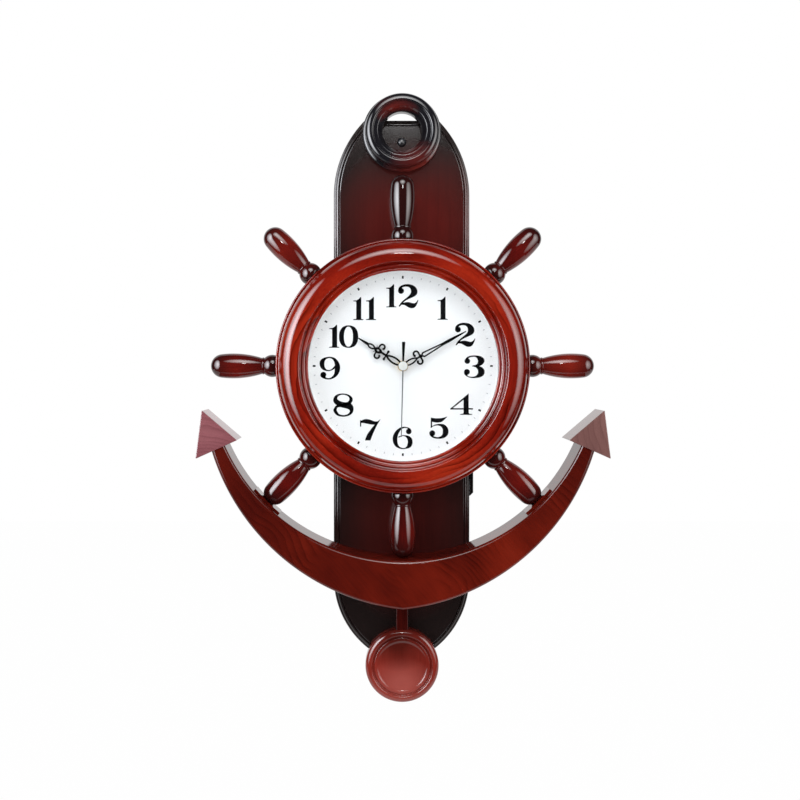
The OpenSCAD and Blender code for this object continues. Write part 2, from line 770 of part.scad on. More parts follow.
module movement_case() color("#2b2b2d") at_wheel() difference() {
    union() {
        difference() {
            layer(0, movement_t) rounded_2d(movement_w, movement_w, 4);
            layer(case_wall, movement_t + 1) box_2d(-inside_half, inside_half, train_floor, inside_half);
            layer(case_wall - tray_sink, movement_t + 1)
                box_2d(-inside_half, inside_half, tray_at - tray_half, tray_top);
        }
        layer(-bush_reach, 0) circle(bush_r);
        arbor(third_at, case_wall, centre_layer - pivot_depth, boss_r);
        arbor(motion_at, case_wall, motion_layer + wheel_t + pivot_in);
        for (p = POSTS) arbor(p, case_wall, plate_layer, post_r);
    }
    layer(-bush_reach - 1, case_wall + 1) circle(hour_pipe_r + run_fit);
    arbor(third_at, minute_layer - pivot_in, centre_layer, arbor_r + run_fit);
    arbor(set_at, case_wall - pivot_depth - pivot_in, case_wall + 1, set_arbor_r + run_fit);
}

// Inset lid with four posts that press the train plate on its seats
module movement_cover() color("#39393c") at_wheel() difference() {
    edge = inside_half - wood_fit;
    union() {
        layer(cover_layer, movement_t) box_2d(-edge, edge, train_floor + wood_fit, edge);
        for (p = POSTS) arbor(p, plate_layer + plate_t, cover_layer, post_r);
        for (p = REAR_PIVOTS) arbor(p, cover_layer - boss_reach, cover_layer, boss_r);
    }
    for (p = REAR_PIVOTS) arbor(p, cover_layer - boss_reach - 1, cover_layer + pivot_depth, arbor_r + run_fit);
    arbor(set_at, cover_layer - 1, movement_t + 1, set_arbor_r + run_fit);
}

module train_plate() color("#c9a44c") at_wheel() layer(plate_layer, plate_layer + plate_t) difference() {
    edge = inside_half - free_gap;
    box_2d(-edge, edge, train_floor + free_gap, edge);
    for (p = [[0, 0], intermediate_at, rotor_at]) translate(p) circle(arbor_r + run_fit);
    translate(third_at) circle(boss_r);
    translate(set_at) circle(boss_r);
}

module rubber_washer() color("#1c1c1c") at_wheel() slab(movement_front, drum_front)
    ring_2d(washer_r, bush_r + wood_fit);

module metal_washer() color("#c7a24a") at_wheel() slab(dial_front, dial_front + metal_washer_t)
    ring_2d(nut_r, bush_r + wood_fit);

module bush_nut() color("#c7a24a") at_wheel() difference() {
    nut_back = dial_front + metal_washer_t;
    slab(nut_back, nut_back + nut_t) ring_2d(nut_r, bush_r + run_fit);
    slab(nut_back + nut_t / 2, nut_back + nut_t + 1) square([3 * nut_r, 1], center = true);
}

// Circuit board on the train plate, with the crystal's can and the chip
module circuit_board() color("#1f5a35") at_wheel() {
    back = plate_layer + plate_t;
    board_in = 9.5;
    board_out = post_x - post_r - free_gap;
    layer(back, back + 0.8) box_2d(board_in, board_out, train_floor + 1, 4);
    layer(back + 0.8, back + 2) {
        translate([board_in + 4, -4]) circle(2.6);
        box_2d(board_out - 4, board_out - 1, -4, 1);
    }
}

// Bobbin with its winding, and the soft iron core that lies on the stator's arms
module coil() color("#a8542a") at_wheel() {
    core_t = 1.6;
    winding_l = 20;
    winding_r = 2.3;
    coil_x = -3;
    coil_z = inside_half - 4.2;
    core_back = stator_layer + stator_t;
    translate([coil_x, core_back + core_t / 2 - movement_front, coil_z]) rotate([0, 90, 0]) {
        cylinder(h = winding_l, r = winding_r, center = true);
        for (s = [-1, 1]) translate([0, 0, s * (winding_l + 1) / 2])
            cylinder(h = 1, r = winding_r + 0.2, center = true);
    }
    layer(core_back, core_back + core_t) translate([coil_x, coil_z])
        square([winding_l + 8, core_t], center = true);
}

// Stator round the rotor, with two arms up to the coil's core
module stator() color("#9aa0a4") at_wheel() layer(stator_layer, stator_layer + stator_t) difference() {
    arm_w = 2.5;
    left = -17;
    right = 11;
    foot = 10.2;
    union() {
        box_2d(left, right, foot, foot + 7.8);
        for (x = [left, right - arm_w]) box_2d(x, x + arm_w, foot, inside_half - 3);
        translate(rotor_at) circle(5.2);
    }
    translate(rotor_at) circle(3.5);
}

module battery_contact_plus() color("#c2c6c9") at_wheel() layer(cell_layer - 4, cell_layer + 4)
    box_2d(inside_half - contact_t, inside_half, tray_at - 3, tray_at + 3);

module battery_contact_minus() color("#c2c6c9") at_wheel() {
    wall = -inside_half;
    layer(cell_layer - 4, cell_layer + 4) box_2d(wall, wall + contact_t, tray_at - 3, tray_at + 3);
    layer(cell_layer - 2, cell_layer + 2) box_2d(wall + contact_t, wall + 1, tray_at - 2, tray_at + 2);
}

module battery() color("#3c6e8f") at_wheel() {
    start = 1.3 - inside_half;
    nub_l = inside_half - contact_t - pivot_in - start - battery_l;
    nub_r = 2.7;
    translate([start, cell_layer - movement_front, tray_at]) rotate([0, 90, 0]) {
        cylinder(h = battery_l, r = battery_r);
        translate([0, 0, battery_l]) cylinder(h = nub_l, r = nub_r);
    }
}

module rotor() color("#5c6166") at_wheel() {
    magnet_r = 3;
    magnet_h = 2.4;
    arbor(rotor_at, plate_layer + 0.1, cover_layer + pivot_in);
    arbor(rotor_at, third_layer, third_layer + magnet_h, magnet_r);
    at(rotor_at) layer(intermediate_layer - pivot_in, intermediate_layer - pivot_in + pinion_t)
        gear_2d(train_pinion_teeth, train_module, rotor_bearing + 180);
}

module intermediate_wheel() color("#e8e3d5") at_wheel() {
    arbor(intermediate_at, plate_layer + 0.1, cover_layer + pivot_in);
    at(intermediate_at) layer(intermediate_layer, intermediate_layer + 0.6)
        gear_2d(intermediate_teeth, train_module, rotor_bearing + 180 + 180 / intermediate_teeth);
    at(intermediate_at) layer(second_layer - pivot_in, intermediate_layer)
        gear_2d(train_pinion_teeth, train_module, -90);
}

module second_wheel() color("#e8e3d5") at_wheel() {
    arbor([0, 0], -second_hand_reach - hand_t - cap_h / 2, cover_layer + pivot_in);
    layer(second_layer, second_layer + wheel_t) gear_2d(second_teeth, train_module, -90 + 180 / second_teeth);
    layer(third_layer - pivot_in, second_layer) gear_2d(train_pinion_teeth, train_module, 180);
}

module third_wheel() color("#e8e3d5") at_wheel() {
    arbor(third_at, minute_layer, cover_layer + pivot_in);
    at(third_at) layer(third_layer, third_layer + wheel_t)
        gear_2d(third_teeth, train_module, 180 + 180 / third_teeth);
    at(third_at) layer(centre_layer - pivot_in, centre_layer + wheel_t + 0.2)
        gear_2d(train_pinion_teeth, centre_module);
}

module centre_wheel() color("#c7a24a") at_wheel() layer(centre_layer, centre_layer + wheel_t) difference() {
    gear_2d(centre_teeth, centre_module, 180 / centre_teeth);
    circle(minute_pipe_r - 0.3 + run_fit);
}

// Minute pipe with its pinion, and the thinner tail on which the centre wheel turns
module minute_pipe() color("#c7a24a") at_wheel() difference() {
    pinion_back = minute_layer + 1.8;
    union() {
        layer(-minute_hand_reach - hand_t - pipe_over, minute_layer) circle(minute_pipe_r);
        layer(minute_layer, pinion_back) gear_2d(minute_teeth, motion_module);
        layer(pinion_back, centre_layer + wheel_t + 0.2) circle(minute_pipe_r - 0.3);
    }
    layer(-minute_hand_reach - hand_t - 1, centre_layer + 2) circle(arbor_r + run_fit);
}

module motion_wheel() color("#e8e3d5") at_wheel() at(motion_at) difference() {
    union() {
        layer(motion_layer, motion_layer + wheel_t)
            gear_2d(motion_teeth, motion_module, 180 / motion_teeth);
        layer(hour_layer - 0.1, motion_layer) gear_2d(motion_pinion_teeth, hour_module, 180);
    }
    layer(0, motion_layer + 2) circle(arbor_r + run_fit);
}

module hour_wheel() color("#e8e3d5") at_wheel() difference() {
    union() {
        layer(hour_layer, hour_layer + wheel_t) gear_2d(hour_teeth, hour_module, 180 + 180 / hour_teeth);
        layer(-hour_hand_reach - hand_t - pipe_over, hour_layer) circle(hour_pipe_r);
    }
    layer(-hour_hand_reach - hand_t - 1, hour_layer + 2) circle(minute_pipe_r + run_fit);
}

// Setting knob with its pinion. The knob has a scalloped edge and stands behind the cover.
module set_knob() color("#4a4a4e") at_wheel() at(set_at) {
    knob_h = 3.6;
    turn = set_bearing + 180 + 180 / set_teeth - set_lead * motion_teeth / set_teeth;
    layer(motion_layer - 0.1, motion_layer + wheel_t + 0.1) gear_2d(set_teeth, motion_module, turn);
    layer(case_wall - pivot_depth, movement_t + free_gap) circle(set_arbor_r);
    layer(movement_t + free_gap, movement_t + free_gap + knob_h) difference() {
        circle(set_knob_r);
        for (a = [0:30:330]) rotate(a) translate([set_knob_r + 0.5, 0]) circle(1);
    }
}

// Ring sector between two angles
module arc_2d(r, wall, from, to) intersection() {
    ring_2d(r + wall / 2, r - wall / 2);
    polygon(concat([[0, 0]], [for (k = [0:6]) polar(2 * r, from + (to - from) * k / 6)]));
}

// Pair of scrolls: each leaves the hand's middle line, curls back towards the hub and ends in a bead
module scrolls_2d(x, z, r, wall) for (s = [0, 1]) mirror([s, 0]) {
    box_2d(0, x, z + r - wall / 2, z + r + wall / 2);
    translate([x, z]) {
        arc_2d(r, wall, -115, 96);
        translate(polar(r - 0.2 * wall, -115)) circle(0.75 * wall);
    }
}

// Blade that widens from its root to a belly and then runs to a blunt tip
module blade_2d(root, belly, tip, root_w, belly_w) polygon([
    [root_w, root], [belly_w, belly], [0.25, tip - 0.5], [0, tip],
    [-0.25, tip - 0.5], [-belly_w, belly], [-root_w, root]
]);

// Leaf, cross bar with beads, scrolls with a diamond and barbs, small leaf, and blade
module hour_hand_2d() {
    bar_at = 0.375 * hour_hand_l;
    scroll_at = 0.52 * hour_hand_l;
    cross_at = 0.57 * hour_hand_l;
    leaf_at = 0.62 * hour_hand_l;
    blade_at = 0.78 * hour_hand_l;
    difference() {
        union() {
            lens_2d(0, bar_at + 0.6, 3.3);
            box_2d(-4.4, 4.4, bar_at - 0.55, bar_at + 0.55);
            for (s = [-1, 1]) translate([s * 4.4, bar_at]) circle(0.95);
            box_2d(-0.75, 0.75, bar_at, bar_at + 7);
            lens_2d(bar_at + 5.2, leaf_at + 0.8, 2.5);
            scrolls_2d(5.1, scroll_at, 2.6, 1.1);
            polygon([[0.8, cross_at + 0.2], [4.6, leaf_at + 0.6], [1.6, cross_at + 1.2],
                     [-1.6, cross_at + 1.2], [-4.6, leaf_at + 0.6], [-0.8, cross_at + 0.2]]);
            lens_2d(leaf_at - 0.6, blade_at + 1, 2.2);
            blade_2d(blade_at - 0.6, blade_at + 1.4, hour_hand_l, 0.8, 1.05);
        }
        lens_hole_2d(0, bar_at + 0.6, 3.3, 1.1);
        lens_hole_2d(bar_at + 5.2, leaf_at + 0.8, 2.5, 1.2);
        lens_hole_2d(leaf_at - 0.6, blade_at + 1, 2.2, 0.75);
    }
}

// Leaf, scrolls on a knot, two rails that draw together, and blade
module minute_hand_2d() {
    leaf_end = 0.23 * minute_hand_l;
    scroll_at = 0.24 * minute_hand_l;
    knot_at = 0.28 * minute_hand_l;
    rail_at = 0.325 * minute_hand_l;
    rail_end = 0.625 * minute_hand_l;
    difference() {
        union() {
            lens_2d(0, leaf_end + 0.8, 2.8);
            box_2d(-0.7, 0.7, leaf_end - 0.6, knot_at);
            scrolls_2d(4.3, scroll_at, 2.6, 1.3);
            translate([0, knot_at]) rotate(45) square(2.8, center = true);
            polygon([[0, knot_at], [2.55, rail_at], [1.1, rail_end], [-1.1, rail_end], [-2.55, rail_at]]);
            blade_2d(rail_end - 1, 0.74 * minute_hand_l, minute_hand_l, 1.1, 1.3);
        }
        lens_hole_2d(0, leaf_end + 0.8, 2.8, 1);
        polygon([[0, knot_at + 2.2], [1.6, rail_at + 0.4], [0, rail_end - 1], [-1.6, rail_at + 0.4]]);
    }
}

module second_hand_2d() {
    polygon([[0.65, 0], [0.45, second_hand_l], [-0.45, second_hand_l], [-0.65, 0]]);
    polygon([[-0.8, 0], [-1.75, 0.5 - second_tail_l], [-1.2, -second_tail_l],
             [1.2, -second_tail_l], [1.75, 0.5 - second_tail_l], [0.8, 0]]);
}

// A hand on its pipe or arbor: a blade, a round boss and the hole that grips
module hand(reach, angle, boss, hole) at_wheel() layer(-reach - hand_t, -reach) difference() {
    union() {
        rotate(-angle) children();
        circle(boss);
    }
    circle(hole);
}

module hour_hand() color("#141414")
    hand(hour_hand_reach, hour_angle, 4.3, hour_pipe_r + grip_gap) hour_hand_2d();

module minute_hand() color("#141414")
    hand(minute_hand_reach, minute_angle, 3.6, minute_pipe_r + grip_gap) minute_hand_2d();

module second_hand() {
    color("#55585a") hand(second_hand_reach, second_angle, 2.2, arbor_r + grip_gap) second_hand_2d();
    color("#d9d9d6") at_wheel()
        layer(-second_hand_reach - hand_t - cap_h, -second_hand_reach - hand_t) ring_2d(cap_r, arbor_r + grip_gap);
}

back_board();
side_block();
hanger_plate();
hanger_screws();
board_stud();
frame_screws();
anchor_ring();
crescent();
fluke(-1);  // fluke_left
fluke(1);  // fluke_right
lower_bar();
bottom_knob();
seat_plates();
case_drum();
case_back();
bezel();
bezel_screws();
glass();
spacer_ring();
dial_plate();
handle(0);  // handle_0
handle(45);  // handle_45
handle(90);  // handle_90
handle(135);  // handle_135
handle(180);  // handle_180
handle(225);  // handle_225
handle(270);  // handle_270
handle(315);  // handle_315
movement_case();
movement_cover();
train_plate();
rubber_washer();
metal_washer();
bush_nut();
circuit_board();
coil();
stator();
battery_contact_plus();
battery_contact_minus();
battery();
rotor();
intermediate_wheel();
second_wheel();
third_wheel();
centre_wheel();
minute_pipe();
motion_wheel();
hour_wheel();
set_knob();
hour_hand();
minute_hand();
second_hand();
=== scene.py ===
import math

import bmesh
import bpy
import numpy as np
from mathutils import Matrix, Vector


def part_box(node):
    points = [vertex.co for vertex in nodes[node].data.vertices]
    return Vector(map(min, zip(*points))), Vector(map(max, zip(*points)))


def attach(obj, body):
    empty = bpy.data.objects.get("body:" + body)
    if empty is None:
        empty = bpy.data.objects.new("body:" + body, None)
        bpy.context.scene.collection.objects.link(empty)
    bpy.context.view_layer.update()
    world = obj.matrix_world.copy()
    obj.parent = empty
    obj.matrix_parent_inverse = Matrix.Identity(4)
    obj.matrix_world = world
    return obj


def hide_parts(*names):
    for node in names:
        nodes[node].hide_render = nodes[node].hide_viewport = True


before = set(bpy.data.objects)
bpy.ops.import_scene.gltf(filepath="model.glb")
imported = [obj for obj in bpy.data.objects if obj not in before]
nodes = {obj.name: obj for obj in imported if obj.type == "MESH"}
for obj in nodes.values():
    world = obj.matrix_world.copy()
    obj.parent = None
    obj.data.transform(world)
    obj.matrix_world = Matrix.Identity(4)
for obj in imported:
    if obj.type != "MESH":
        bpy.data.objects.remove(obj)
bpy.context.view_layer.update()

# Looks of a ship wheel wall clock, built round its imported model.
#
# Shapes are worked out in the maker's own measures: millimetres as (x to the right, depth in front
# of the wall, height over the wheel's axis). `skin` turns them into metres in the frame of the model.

AXIS = 196.0  # the wheel's axis hangs this far below the hanger's hole
scene = bpy.context.scene
scene.view_settings.view_transform = "Standard"


# ---------------------------------------------------------------------------------------------
# Camera. It stands 1.29 m from the wall and a little to the left of the wheel, level with it. The
# shift moves the picture's frame to the right and down from the lens's middle, as photographed.
def new_object(name, data):
    """An object of the scene that shows a mesh, a lamp or a camera."""
    made = bpy.data.objects.new(name, data)
    scene.collection.objects.link(made)
    return made


camera = new_object("camera", bpy.data.cameras.new("camera"))
camera.location = (-0.0377, -1.291, -0.1928)
camera.rotation_euler = (math.radians(90), 0, 0)
camera.data.lens = 54.9
camera.data.shift_x = 0.043
camera.data.shift_y = -0.0465
scene.camera = camera


# ---------------------------------------------------------------------------------------------
# Studio: a white surround, a pale floor below the hanging clock, a tall soft box on either side,
# one overhead and a small lamp high in front. Dark cloths stand behind the camera and on all four
# sides, as product studios have them, so that the lacquer stays deep between the boxes' streaks.
def linear(red, green, blue):
    """Paint as a screen shows it, 0 to 255, turned into the light that it reflects."""
    return tuple(round(((v / 255 + 0.055) / 1.055) ** 2.4 if v > 10 else v / 3294.6, 5)
                 for v in (red, green, blue)) + (1.0,)


def add(tree, kind, inputs=None, **settings):
    """One shader node: its settings, and its inputs as values or as other nodes' sockets."""
    made = tree.nodes.new("ShaderNode" + kind)
    for key, value in settings.items():
        setattr(made, key, value)
    for key, value in (inputs or {}).items():
        if isinstance(value, bpy.types.NodeSocket):
            tree.links.new(value, made.inputs[key])
        else:
            made.inputs[key].default_value = value
    return made


def calc(tree, operation, *values):
    """One step of arithmetic on numbers and on other nodes' sockets."""
    return add(tree, "Math", dict(enumerate(values)), operation=operation).outputs[0]


def seen_directly(tree):
    """1 for rays from the camera, from a gloss or through glass, and 0 for the light that falls."""
    rays = add(tree, "LightPath").outputs
    glossy = calc(tree, "MAXIMUM", rays["Is Camera Ray"], rays["Is Glossy Ray"])
    return calc(tree, "MAXIMUM", glossy, rays["Is Transmission Ray"])


surround = bpy.data.worlds.new("studio")
surround.use_nodes = True
tree = surround.node_tree
tree.nodes.clear()
falling = add(tree, "Background", {"Color": (1, 1, 1, 1), "Strength": 0.62})
white = add(tree, "Background", {"Color": (1, 1, 1, 1), "Strength": 1.0})
both = add(tree, "MixShader", {0: seen_directly(tree), 1: falling.outputs[0], 2: white.outputs[0]})
add(tree, "OutputWorld", {"Surface": both.outputs[0]})
scene.world = surround


def card(name, low, high, shader_of):
    """A flat stage sheet between two opposite corners in metres, with its own shader."""
    (x0, y0, z0), (x1, y1, z1) = low, high
    second, fourth = ((x0, y1, z0), (x0, y0, z1)) if x0 == x1 else ((x1, y0, z0), (x0, y1, z1))
    mesh = bpy.data.meshes.new(name)
    mesh.from_pydata([low, second, high, fourth], [], [(0, 1, 2, 3)])
    sheet = new_object(name, mesh)
    material = bpy.data.materials.new(name)
    material.use_nodes = True
    tree = material.node_tree
    tree.nodes.clear()
    add(tree, "OutputMaterial", {"Surface": shader_of(tree)})
    mesh.materials.append(material)
    return sheet


def floor_shader(tree):
    """Matt pale floor whose own colour keeps the shadow, lifted towards white for what sees it."""
    matt = add(tree, "BsdfDiffuse", {"Color": linear(236, 236, 236)})
    lit = add(tree, "Emission", {"Color": (1, 1, 1, 1), "Strength": 1.0})
    share = calc(tree, "MULTIPLY", seen_directly(tree), 0.985)
    return add(tree, "MixShader", {0: share, 1: matt.outputs[0], 2: lit.outputs[0]}).outputs[0]


card("floor", (-3, -3, -0.75), (3, 3, -0.75), floor_shader)


def gloss_only(sheet):
    """What a polished surface shows and nothing else sees."""
    sheet.visible_camera = sheet.visible_diffuse = sheet.visible_shadow = False


def matt_black(tree):
    """Cloth that gives nothing back."""
    return add(tree, "BsdfDiffuse", {"Color": linear(16, 16, 18)}).outputs[0]


for side, low, high in (("front", (-1.7, -2.6, -0.74), (1.7, -2.6, 1.6)),
                        ("left", (-1.7, -2.6, -0.74), (-1.7, 1.0, 1.6)),
                        ("right", (1.7, -2.6, -0.74), (1.7, 1.0, 1.6)),
                        ("over", (-1.7, -2.6, 1.6), (1.7, 0.8, 1.6)),
                        ("under", (-1.7, -2.6, -0.74), (1.7, -0.28, -0.74))):
    gloss_only(card(f"cloth_{side}", low, high, matt_black))


def place(tree):
    """Where a point lies on its object, in metres."""
    return add(tree, "TexCoord").outputs["Object"]


def glow(tree, source, centre, reach, power=1.0):
    """1 at a centre, falling to 0 at the given reach along each axis: one less the scaled distance."""
    scaled = add(tree, "Mapping", {
        "Vector": source,
        "Location": tuple(-c / r for c, r in zip(centre, reach)),
        "Scale": tuple(1 / r for r in reach)})
    ball = add(tree, "TexGradient", {0: scaled.outputs[0]}, gradient_type="SPHERICAL")
    return calc(tree, "POWER", ball.outputs["Fac"], power)


def panel(name, low, high, strength, tint):
    """The lit face of a soft box as gloss shows it, brightest in its middle and fading outwards."""
    middle = np.mean((low, high), axis=0)
    reach = np.maximum(middle - low, 0.2)

    def lit(tree):
        share = glow(tree, place(tree), middle, reach, 0.8)
        power = calc(tree, "MULTIPLY", share, strength)
        return add(tree, "Emission", {"Color": tint, "Strength": power}).outputs[0]

    gloss_only(card(name, low, high, lit))


panel("left_panel", (-0.85, -1.45, -0.72), (-0.85, -0.05, 0.80), 20, (0.93, 0.95, 1.0, 1))
panel("right_panel", (0.85, -1.35, -0.72), (0.85, -0.05, 0.70), 8, (1.0, 0.98, 0.97, 1))
panel("overhead_panel", (-0.6, -1.6, 0.35), (0.6, -0.5, 1.2), 12, (1, 1, 1, 1))


def soft_box(name, spot, aim, width, height, power, tint=(1, 1, 1)):
    """An area lamp at a spot, turned to its aim, in metres, with its power in watts."""
    lamp = new_object(name, bpy.data.lights.new(name, "AREA"))
    lamp.data.shape = "RECTANGLE"
    lamp.data.size, lamp.data.size_y = width, height
    lamp.data.energy, lamp.data.color = power, tint
    lamp.location = spot
    towards = np.subtract(aim, spot)
    flat = math.hypot(towards[0], towards[1])
    lamp.rotation_euler = (math.atan2(flat, -towards[2]), 0, math.atan2(-towards[0], towards[1]))
    lamp.visible_camera = lamp.visible_glossy = False
    return lamp


soft_box("left_box", (-1.15, -1.0, -0.12), (0, 0, -0.2), 1.2, 1.6, 7, (0.93, 0.96, 1.0))
soft_box("right_box", (1.15, -1.0, -0.12), (0, 0, -0.2), 1.2, 1.6, 6)
soft_box("overhead_box", (0, -1.0, 0.95), (0, 0, -0.15), 1.3, 0.5, 7)
soft_box("front_lamp", (0.04, -1.35, 0.42), (0, 0, -0.2), 0.1, 0.1, 1.2).visible_glossy = True


# ---------------------------------------------------------------------------------------------
# Back board: a long planed board with rounded shoulders, which carries everything and lies on the
# wall. A sloped band, a groove and a bead run round its front. It is sprayed dark red, shading to
# black at the edge and the ends, and its back has the pocket for the hanger and the access opening.
def rounded(corners, closed=False, steps=5):
    """Outline through corners (a, b, radius). Each corner becomes an arc that touches both of its
    sides: its centre lies on the bisector, at the radius over the sine of half the angle."""
    count, points = len(corners), []
    for i, (a, b, radius) in enumerate(corners):
        here = np.array((a, b), float)
        if radius == 0 or (not closed and i in (0, count - 1)):
            points.append(here)
            continue
        before = np.array(corners[i - 1][:2]) - here
        after = np.array(corners[(i + 1) % count][:2]) - here
        before /= np.linalg.norm(before)
        after /= np.linalg.norm(after)
        half = math.acos(np.clip(before @ after, -1, 1)) / 2
        sweep = math.pi - 2 * half
        middle = here + (before + after) / np.linalg.norm(before + after) * radius / math.sin(half)
        first = here + before * radius / math.tan(half) - middle
        last = here + after * radius / math.tan(half) - middle
        t = np.linspace(0, 1, steps + 1)[:, None]
        swung = np.sin((1 - t) * sweep) * first + np.sin(t * sweep) * last
        points.extend(middle + swung / math.sin(sweep))
    return np.array(points)


def capped(grid):
    """The rows of a grid with one more at either end, shrunk to the middle of the row beside it."""
    ends = [np.broadcast_to(grid[k].mean(0), grid[k].shape) for k in (0, -1)]
    return np.concatenate([ends[:1], grid, ends[1:]])


def skin(name, grid, along=False, crease=32):
    """Mesh over a grid of points. Each row is closed on itself, and the rows follow one another.
    `along` joins the last row to the first, and a row shrunk to one point becomes a pole. A point
    (x, depth, height) lies at (x, -depth, height - axis), in metres."""
    rows, count = grid.shape[:2]
    index = np.arange(rows * count).reshape(rows, count)
    index = np.hstack([index, index[:, :1]])
    if along:
        index = np.vstack([index, index[:1]])
    quads = np.stack([index[:-1, :-1], index[1:, :-1], index[1:, 1:], index[:-1, 1:]], axis=-1)
    spots = grid.reshape(-1, 3) * (1, -1, 1) - (0, 0, AXIS)
    mesh = bpy.data.meshes.new(name)
    mesh.from_pydata((spots / 1000).tolist(), [], quads.reshape(-1, 4).tolist())
    return tidy(new_object(name, mesh), crease)


def tidy(piece, crease=32):
    """Merges doubles, turns the faces outwards and shades smooth except over sharp edges. Large
    faces count for more than small ones, so a flat stays flat up to its rounded edge."""
    work = bmesh.new()
    work.from_mesh(piece.data)
    bmesh.ops.remove_doubles(work, verts=work.verts, dist=2e-7)
    bmesh.ops.recalc_face_normals(work, faces=work.faces)
    work.to_mesh(piece.data)
    work.free()
    piece.data.shade_smooth()
    piece.data.set_sharp_from_angle(angle=math.radians(crease))
    if not piece.modifiers:
        piece.modifiers.new("even", "WEIGHTED_NORMAL").keep_sharp = True
    return piece


def raised(name, outline_at, rows, crease=32):
    """A convex block built from its outline drawn in by a margin, one row for each (margin, depth):
    the first and the last row close to a point in the outline's middle."""
    grid = []
    for margin, depth in rows:
        x, height = outline_at(margin).T
        grid.append(np.column_stack([x, np.full(len(x), depth), height]))
    return skin(name, capped(np.array(grid)), crease=crease)


def points_of(mesh, key="co"):
    """The places of a mesh's points, or another vector that each of them has, as rows (x, y, z)."""
    flat = np.empty(len(mesh.vertices) * 3)
    mesh.vertices.foreach_get(key, flat)
    return flat.reshape(-1, 3)


def lay_grain(piece, lay=lambda spots: spots):
    """Keeps for every point where it lay in the plank, whose grain runs along the first axis.
    `lay` gets the points as (x, y, z) from the wheel's axis."""
    plank = lay(points_of(piece.data) + (0, 0, AXIS / 1000))
    kept = piece.data.attributes.new("plank", "FLOAT_VECTOR", "POINT")
    kept.data.foreach_set("vector", np.ascontiguousarray(plank, np.float32).ravel())
    return piece


def upright(spots):
    """A plank that stands on end: its grain runs up the wall."""
    return spots[:, [2, 1, 0]]


def finish(name, colour, roughness, **sockets):
    """A material of one shader. What is the same all over it is set on the shader's own sockets."""
    material = bpy.data.materials.new(name)
    material.use_nodes = True
    shader = material.node_tree.nodes["Principled BSDF"]
    shader.inputs["Base Color"].default_value = colour
    shader.inputs["Roughness"].default_value = roughness
    for key, value in sockets.items():
        shader.inputs[key.replace("_", " ")].default_value = value
    return material, material.node_tree, shader


def spread(tree, source, factors):
    """Stretches a coordinate along the three axes."""
    return add(tree, "VectorMath", {0: source, 1: factors}, operation="MULTIPLY").outputs[0]


def noise(tree, source, scale, detail, **more):
    """Soft noise about 0.5, with so many clouds to the metre."""
    return add(tree, "TexNoise", {"Vector": source, "Scale": scale, "Detail": detail, **more}).outputs["Fac"]


def relief(tree, shader, height, strength, depth, socket="Normal"):
    """Lets a height stand out of the surface by up to a depth in metres."""
    bump = add(tree, "Bump", {"Strength": strength, "Distance": depth, "Height": height})
    tree.links.new(bump.outputs[0], shader.inputs[socket])


def rise(tree, value, low, high):
    """0 up to a low value, 1 from a high one, and straight between the two."""
    return add(tree, "MapRange", {"Value": value, "From Min": low, "From Max": high}).outputs[0]


def grey(level):
    """A grey of a colour ramp that stands for a number from 0 to 1."""
    return (level, level, level, 1)


def shades(*stops):
    """Stops of a colour ramp, each from its position and its red, green and blue on a screen."""
    return [(position, linear(*colour)) for position, *colour in stops]


def ramp(tree, source, stops):
    """Colour ramp over a value, from stops (position, colour)."""
    made = add(tree, "ValToRGB", {0: source})
    slots = made.color_ramp.elements
    while len(slots) < len(stops):
        slots.new(0.5)
    for slot, (position, colour) in zip(slots, stops):
        slot.position, slot.color = position, colour
    return made.outputs[0]


def blend(tree, share, first, second, mode="MIX"):
    """Mixes two colours by a share."""
    return add(tree, "Mix", {0: share, 6: first, 7: second}, data_type="RGBA", blend_type=mode).outputs[2]


def grain(tree, source, tones, pitch=0.007, bend=4.0, stretch=0.22, lines=0.6, calm=0.46):
    """Figure of sawn wood in the plank's own coordinates. Growth lines lie where the height across
    the plank over the pitch, plus a few times a noise pulled along the grain, passes a whole
    number. They fade out in calm fields. It gives the colour and a height for the relief."""
    pulled = spread(tree, source, (stretch, 1, 1))
    across = add(tree, "SeparateXYZ", {0: source}).outputs["Z"]
    phase = calc(tree, "MULTIPLY_ADD", across, 1 / pitch, 50.0)
    phase = calc(tree, "MULTIPLY_ADD", noise(tree, pulled, 14.0, 1.5), bend, phase)
    phase = calc(tree, "MULTIPLY_ADD", noise(tree, pulled, 75.0, 2.0), 0.7, phase)
    line = ramp(tree, calc(tree, "FRACT", phase), [
        (0.0, grey(0.5)), (0.08, grey(0)), (0.4, grey(0.06)), (0.8, grey(0.6)), (0.95, grey(1))])
    shown = rise(tree, noise(tree, pulled, 21.0, 1.0), calm, calm + 0.16)
    line = calc(tree, "MULTIPLY", line, shown)
    pores = noise(tree, spread(tree, source, (0.06, 1, 1)), 700.0, 2.0)
    tone = calc(tree, "MULTIPLY_ADD", pores, 0.22, noise(tree, pulled, 16.0, 3.0))
    share = calc(tree, "MULTIPLY", line, lines)
    colour = blend(tree, share, ramp(tree, tone, tones), (0.22, 0.13, 0.13, 1), "MULTIPLY")
    return colour, calc(tree, "MULTIPLY_ADD", line, -0.5, pores)


